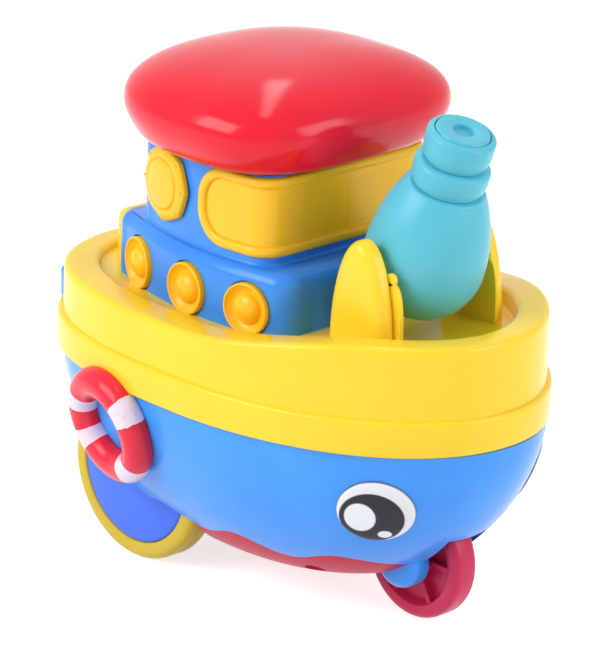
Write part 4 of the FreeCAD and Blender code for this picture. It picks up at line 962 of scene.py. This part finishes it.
finished(front_wheel, wheel_plastic, "front_wheel", "wheel_red", "front_wheel", sharp=45)
RIB_HALF, RIB_TOP, RIB_FACE, RIB_EDGE = 0.0008, 0.00056, FRONT_HALF - 0.0009, 0.0003
RIB_SECTION = ((RIB_HALF, -RIB_FACE), (-RIB_HALF, -RIB_FACE), (-RIB_TOP, -RIB_FACE - RIB_EDGE),
               (-RIB_TOP, RIB_FACE), (RIB_TOP, RIB_FACE), (RIB_HALF, RIB_FACE - RIB_EDGE))
rib_ends = (HUB - 0.0004, FRONT_RECESS + 0.0003)
rib = joined_rings("front_wheel_ribs", [[(x, *point) for point in RIB_SECTION] for x in rib_ends])
hub_centre = Vector((FRONT_AXLE[0], 0, FRONT_AXLE[1]))
ring_of_copies(rib, 6, 0.0, wheel_plastic, standing(hub_centre, Vector((0, 1, 0))))
finished(rib, wheel_plastic, "front_wheel", "wheel_red", "front_wheel")

# ------------------------------------------------------------------ gear train, push rod and pins
# Under the roof a square acetal rod with a rack turns three gears between two grey plates. The cannon's
# yellow pin goes through both brackets. The gears are matt and slightly waxy.
acetal = plastic("natural acetal", (0.82, 0.82, 0.76), (0.76, 0.76, 0.7), gloss=0.38, rub=0.2, cloud_size=90)
for node in ("push_rod", "drive_gear", "clutch_gear", "gearbox_spacers"):
    dress(node, acetal)
grey_acetal = plastic("grey acetal", (0.1, 0.1, 0.11), (0.075, 0.075, 0.085), gloss=0.4, rub=0.2,
                      cloud_size=90)
for node in ("idler_gear", "axle_gear", "gearbox_plate_starboard", "gearbox_plate_port", "gearbox_bridge"):
    dress(node, grey_acetal)
dress("cannon_pivot", deck_plastic)

# ------------------------------------------------------------------ steel
# Ground steel shafts, the coil spring under the roof, and zinc-plated screws with drawn marks in their shine.
steel = plastic("bright steel", (0.62, 0.62, 0.64), (0.5, 0.5, 0.52), gloss=0.22, rub=0.3,
                cloud_size=200, peel_depth=0.1)
steel.node_tree.nodes["Principled BSDF"].inputs["Metallic"].default_value = 1.0
for node in ("return_spring", "drive_shaft", "idler_shaft", "clutch_shaft", "rear_axle", "front_axle",
             "gearbox_screws", "keel_screws", "cabin_screws"):
    dress(node, steel)

# ------------------------------------------------------------------ studio
# A pale floor that melts into a white background, soft daylight from all round, a broad key, a fill and a
# narrow light overhead.
def in_picture(tree, path):
    """1 on rays from the camera, straight or by a mirror or glass, and 0 on rays that light the boat."""
    straight = math_node(tree, "MAXIMUM", path.outputs["Is Camera Ray"], path.outputs["Is Glossy Ray"])
    return math_node(tree, "MAXIMUM", straight, path.outputs["Is Transmission Ray"])


ground = bpy.data.meshes.new("floor")
ground.from_pydata([(-3, -3, 0), (3, -3, 0), (3, 3, 0), (-3, 3, 0)], [], [(0, 1, 2, 3)])
floor = bpy.data.objects.new("floor", ground)
bpy.context.scene.collection.objects.link(floor)
paper = bpy.data.materials.new("white paper")
paper.use_nodes = True
tree = paper.node_tree
shader = tree.nodes["Principled BSDF"]
shader.inputs["Base Color"].default_value = (0.86, 0.86, 0.86, 1)
shader.inputs["Roughness"].default_value = 0.9
shader.inputs["Specular IOR Level"].default_value = 0.1
glow = tree.nodes.new("ShaderNodeEmission")
seen_by = tree.nodes.new("ShaderNodeLightPath")
FLOOR_GLOW = 0.72
picture = math_node(tree, "MULTIPLY", in_picture(tree, seen_by), FLOOR_GLOW)
blend = tree.nodes.new("ShaderNodeAddShader")
lit = tree.nodes.new("ShaderNodeMixShader")
dark = tree.nodes.new("ShaderNodeEmission")
dark.inputs["Strength"].default_value = 0.0
tree.links.new(picture, lit.inputs["Fac"])
tree.links.new(dark.outputs["Emission"], lit.inputs[1])
tree.links.new(glow.outputs["Emission"], lit.inputs[2])
tree.links.new(lit.outputs["Shader"], blend.inputs[0])
tree.links.new(shader.outputs["BSDF"], blend.inputs[1])
tree.links.new(blend.outputs["Shader"], tree.nodes["Material Output"].inputs["Surface"])
ground.materials.append(paper)

world = bpy.data.worlds.new("studio")
bpy.context.scene.world = world
world.use_nodes = True
tree = world.node_tree
sky, out = tree.nodes["Background"], tree.nodes["World Output"]
sky.inputs["Color"].default_value = (0.94, 0.97, 1.0, 1)
sky.inputs["Strength"].default_value = 0.5
seen = tree.nodes.new("ShaderNodeBackground")
seen.inputs["Color"].default_value = (1, 1, 1, 1)
path = tree.nodes.new("ShaderNodeLightPath")
pick = tree.nodes.new("ShaderNodeMixShader")
tree.links.new(in_picture(tree, path), pick.inputs["Fac"])
tree.links.new(sky.outputs["Background"], pick.inputs[1])
tree.links.new(seen.outputs["Background"], pick.inputs[2])
tree.links.new(pick.outputs["Shader"], out.inputs["Surface"])


def softbox(name, place, aim, width, height, watts):
    """A rectangular lamp at a place, aimed at a point."""
    light = bpy.data.lights.new(name, "AREA")
    light.shape = "RECTANGLE"
    light.size, light.size_y, light.energy = width, height, watts
    item = bpy.data.objects.new(name, light)
    item.location = place
    item.rotation_euler = (Vector(aim) - Vector(place)).to_track_quat("-Z", "Y").to_euler()
    bpy.context.scene.collection.objects.link(item)


softbox("key", (-0.25, -0.75, 0.55), (0, 0, 0.07), 0.6, 0.5, 5.6)
softbox("fill", (0.8, 0.3, 0.4), (0, 0, 0.07), 0.5, 0.5, 3.2)
softbox("overhead", (-0.2, 0.2, 1.0), (0, 0, 0.13), 0.12, 1.0, 1.6)

# The camera stands off the starboard bow and looks down at the boat through a long lens, rolled a little.
AZIMUTH, ELEVATION, ROLL = math.radians(45.68), math.radians(19.51), math.radians(1.98)
DISTANCE, SENSOR, FOCAL_LENGTH = 1.297, 36.0, 244.34389
TARGET = Vector((-0.00426, 0.0, 0.07055))
forward = Vector((-math.sin(AZIMUTH) * math.cos(ELEVATION), math.cos(AZIMUTH) * math.cos(ELEVATION),
                  -math.sin(ELEVATION)))
level = Vector((math.cos(AZIMUTH), math.sin(AZIMUTH), 0))
upright = level.cross(forward)
right = math.cos(ROLL) * level + math.sin(ROLL) * upright
top = math.cos(ROLL) * upright - math.sin(ROLL) * level
lens = bpy.data.cameras.new("camera")
lens.sensor_width = SENSOR
lens.lens = FOCAL_LENGTH
camera = bpy.data.objects.new("camera", lens)
turn = Matrix((right, top, -forward)).transposed()
camera.matrix_world = Matrix.Translation(TARGET - forward * DISTANCE) @ turn.to_4x4()
bpy.context.scene.collection.objects.link(camera)
bpy.context.scene.camera = camera
bpy.context.scene.view_settings.view_transform = "Standard"
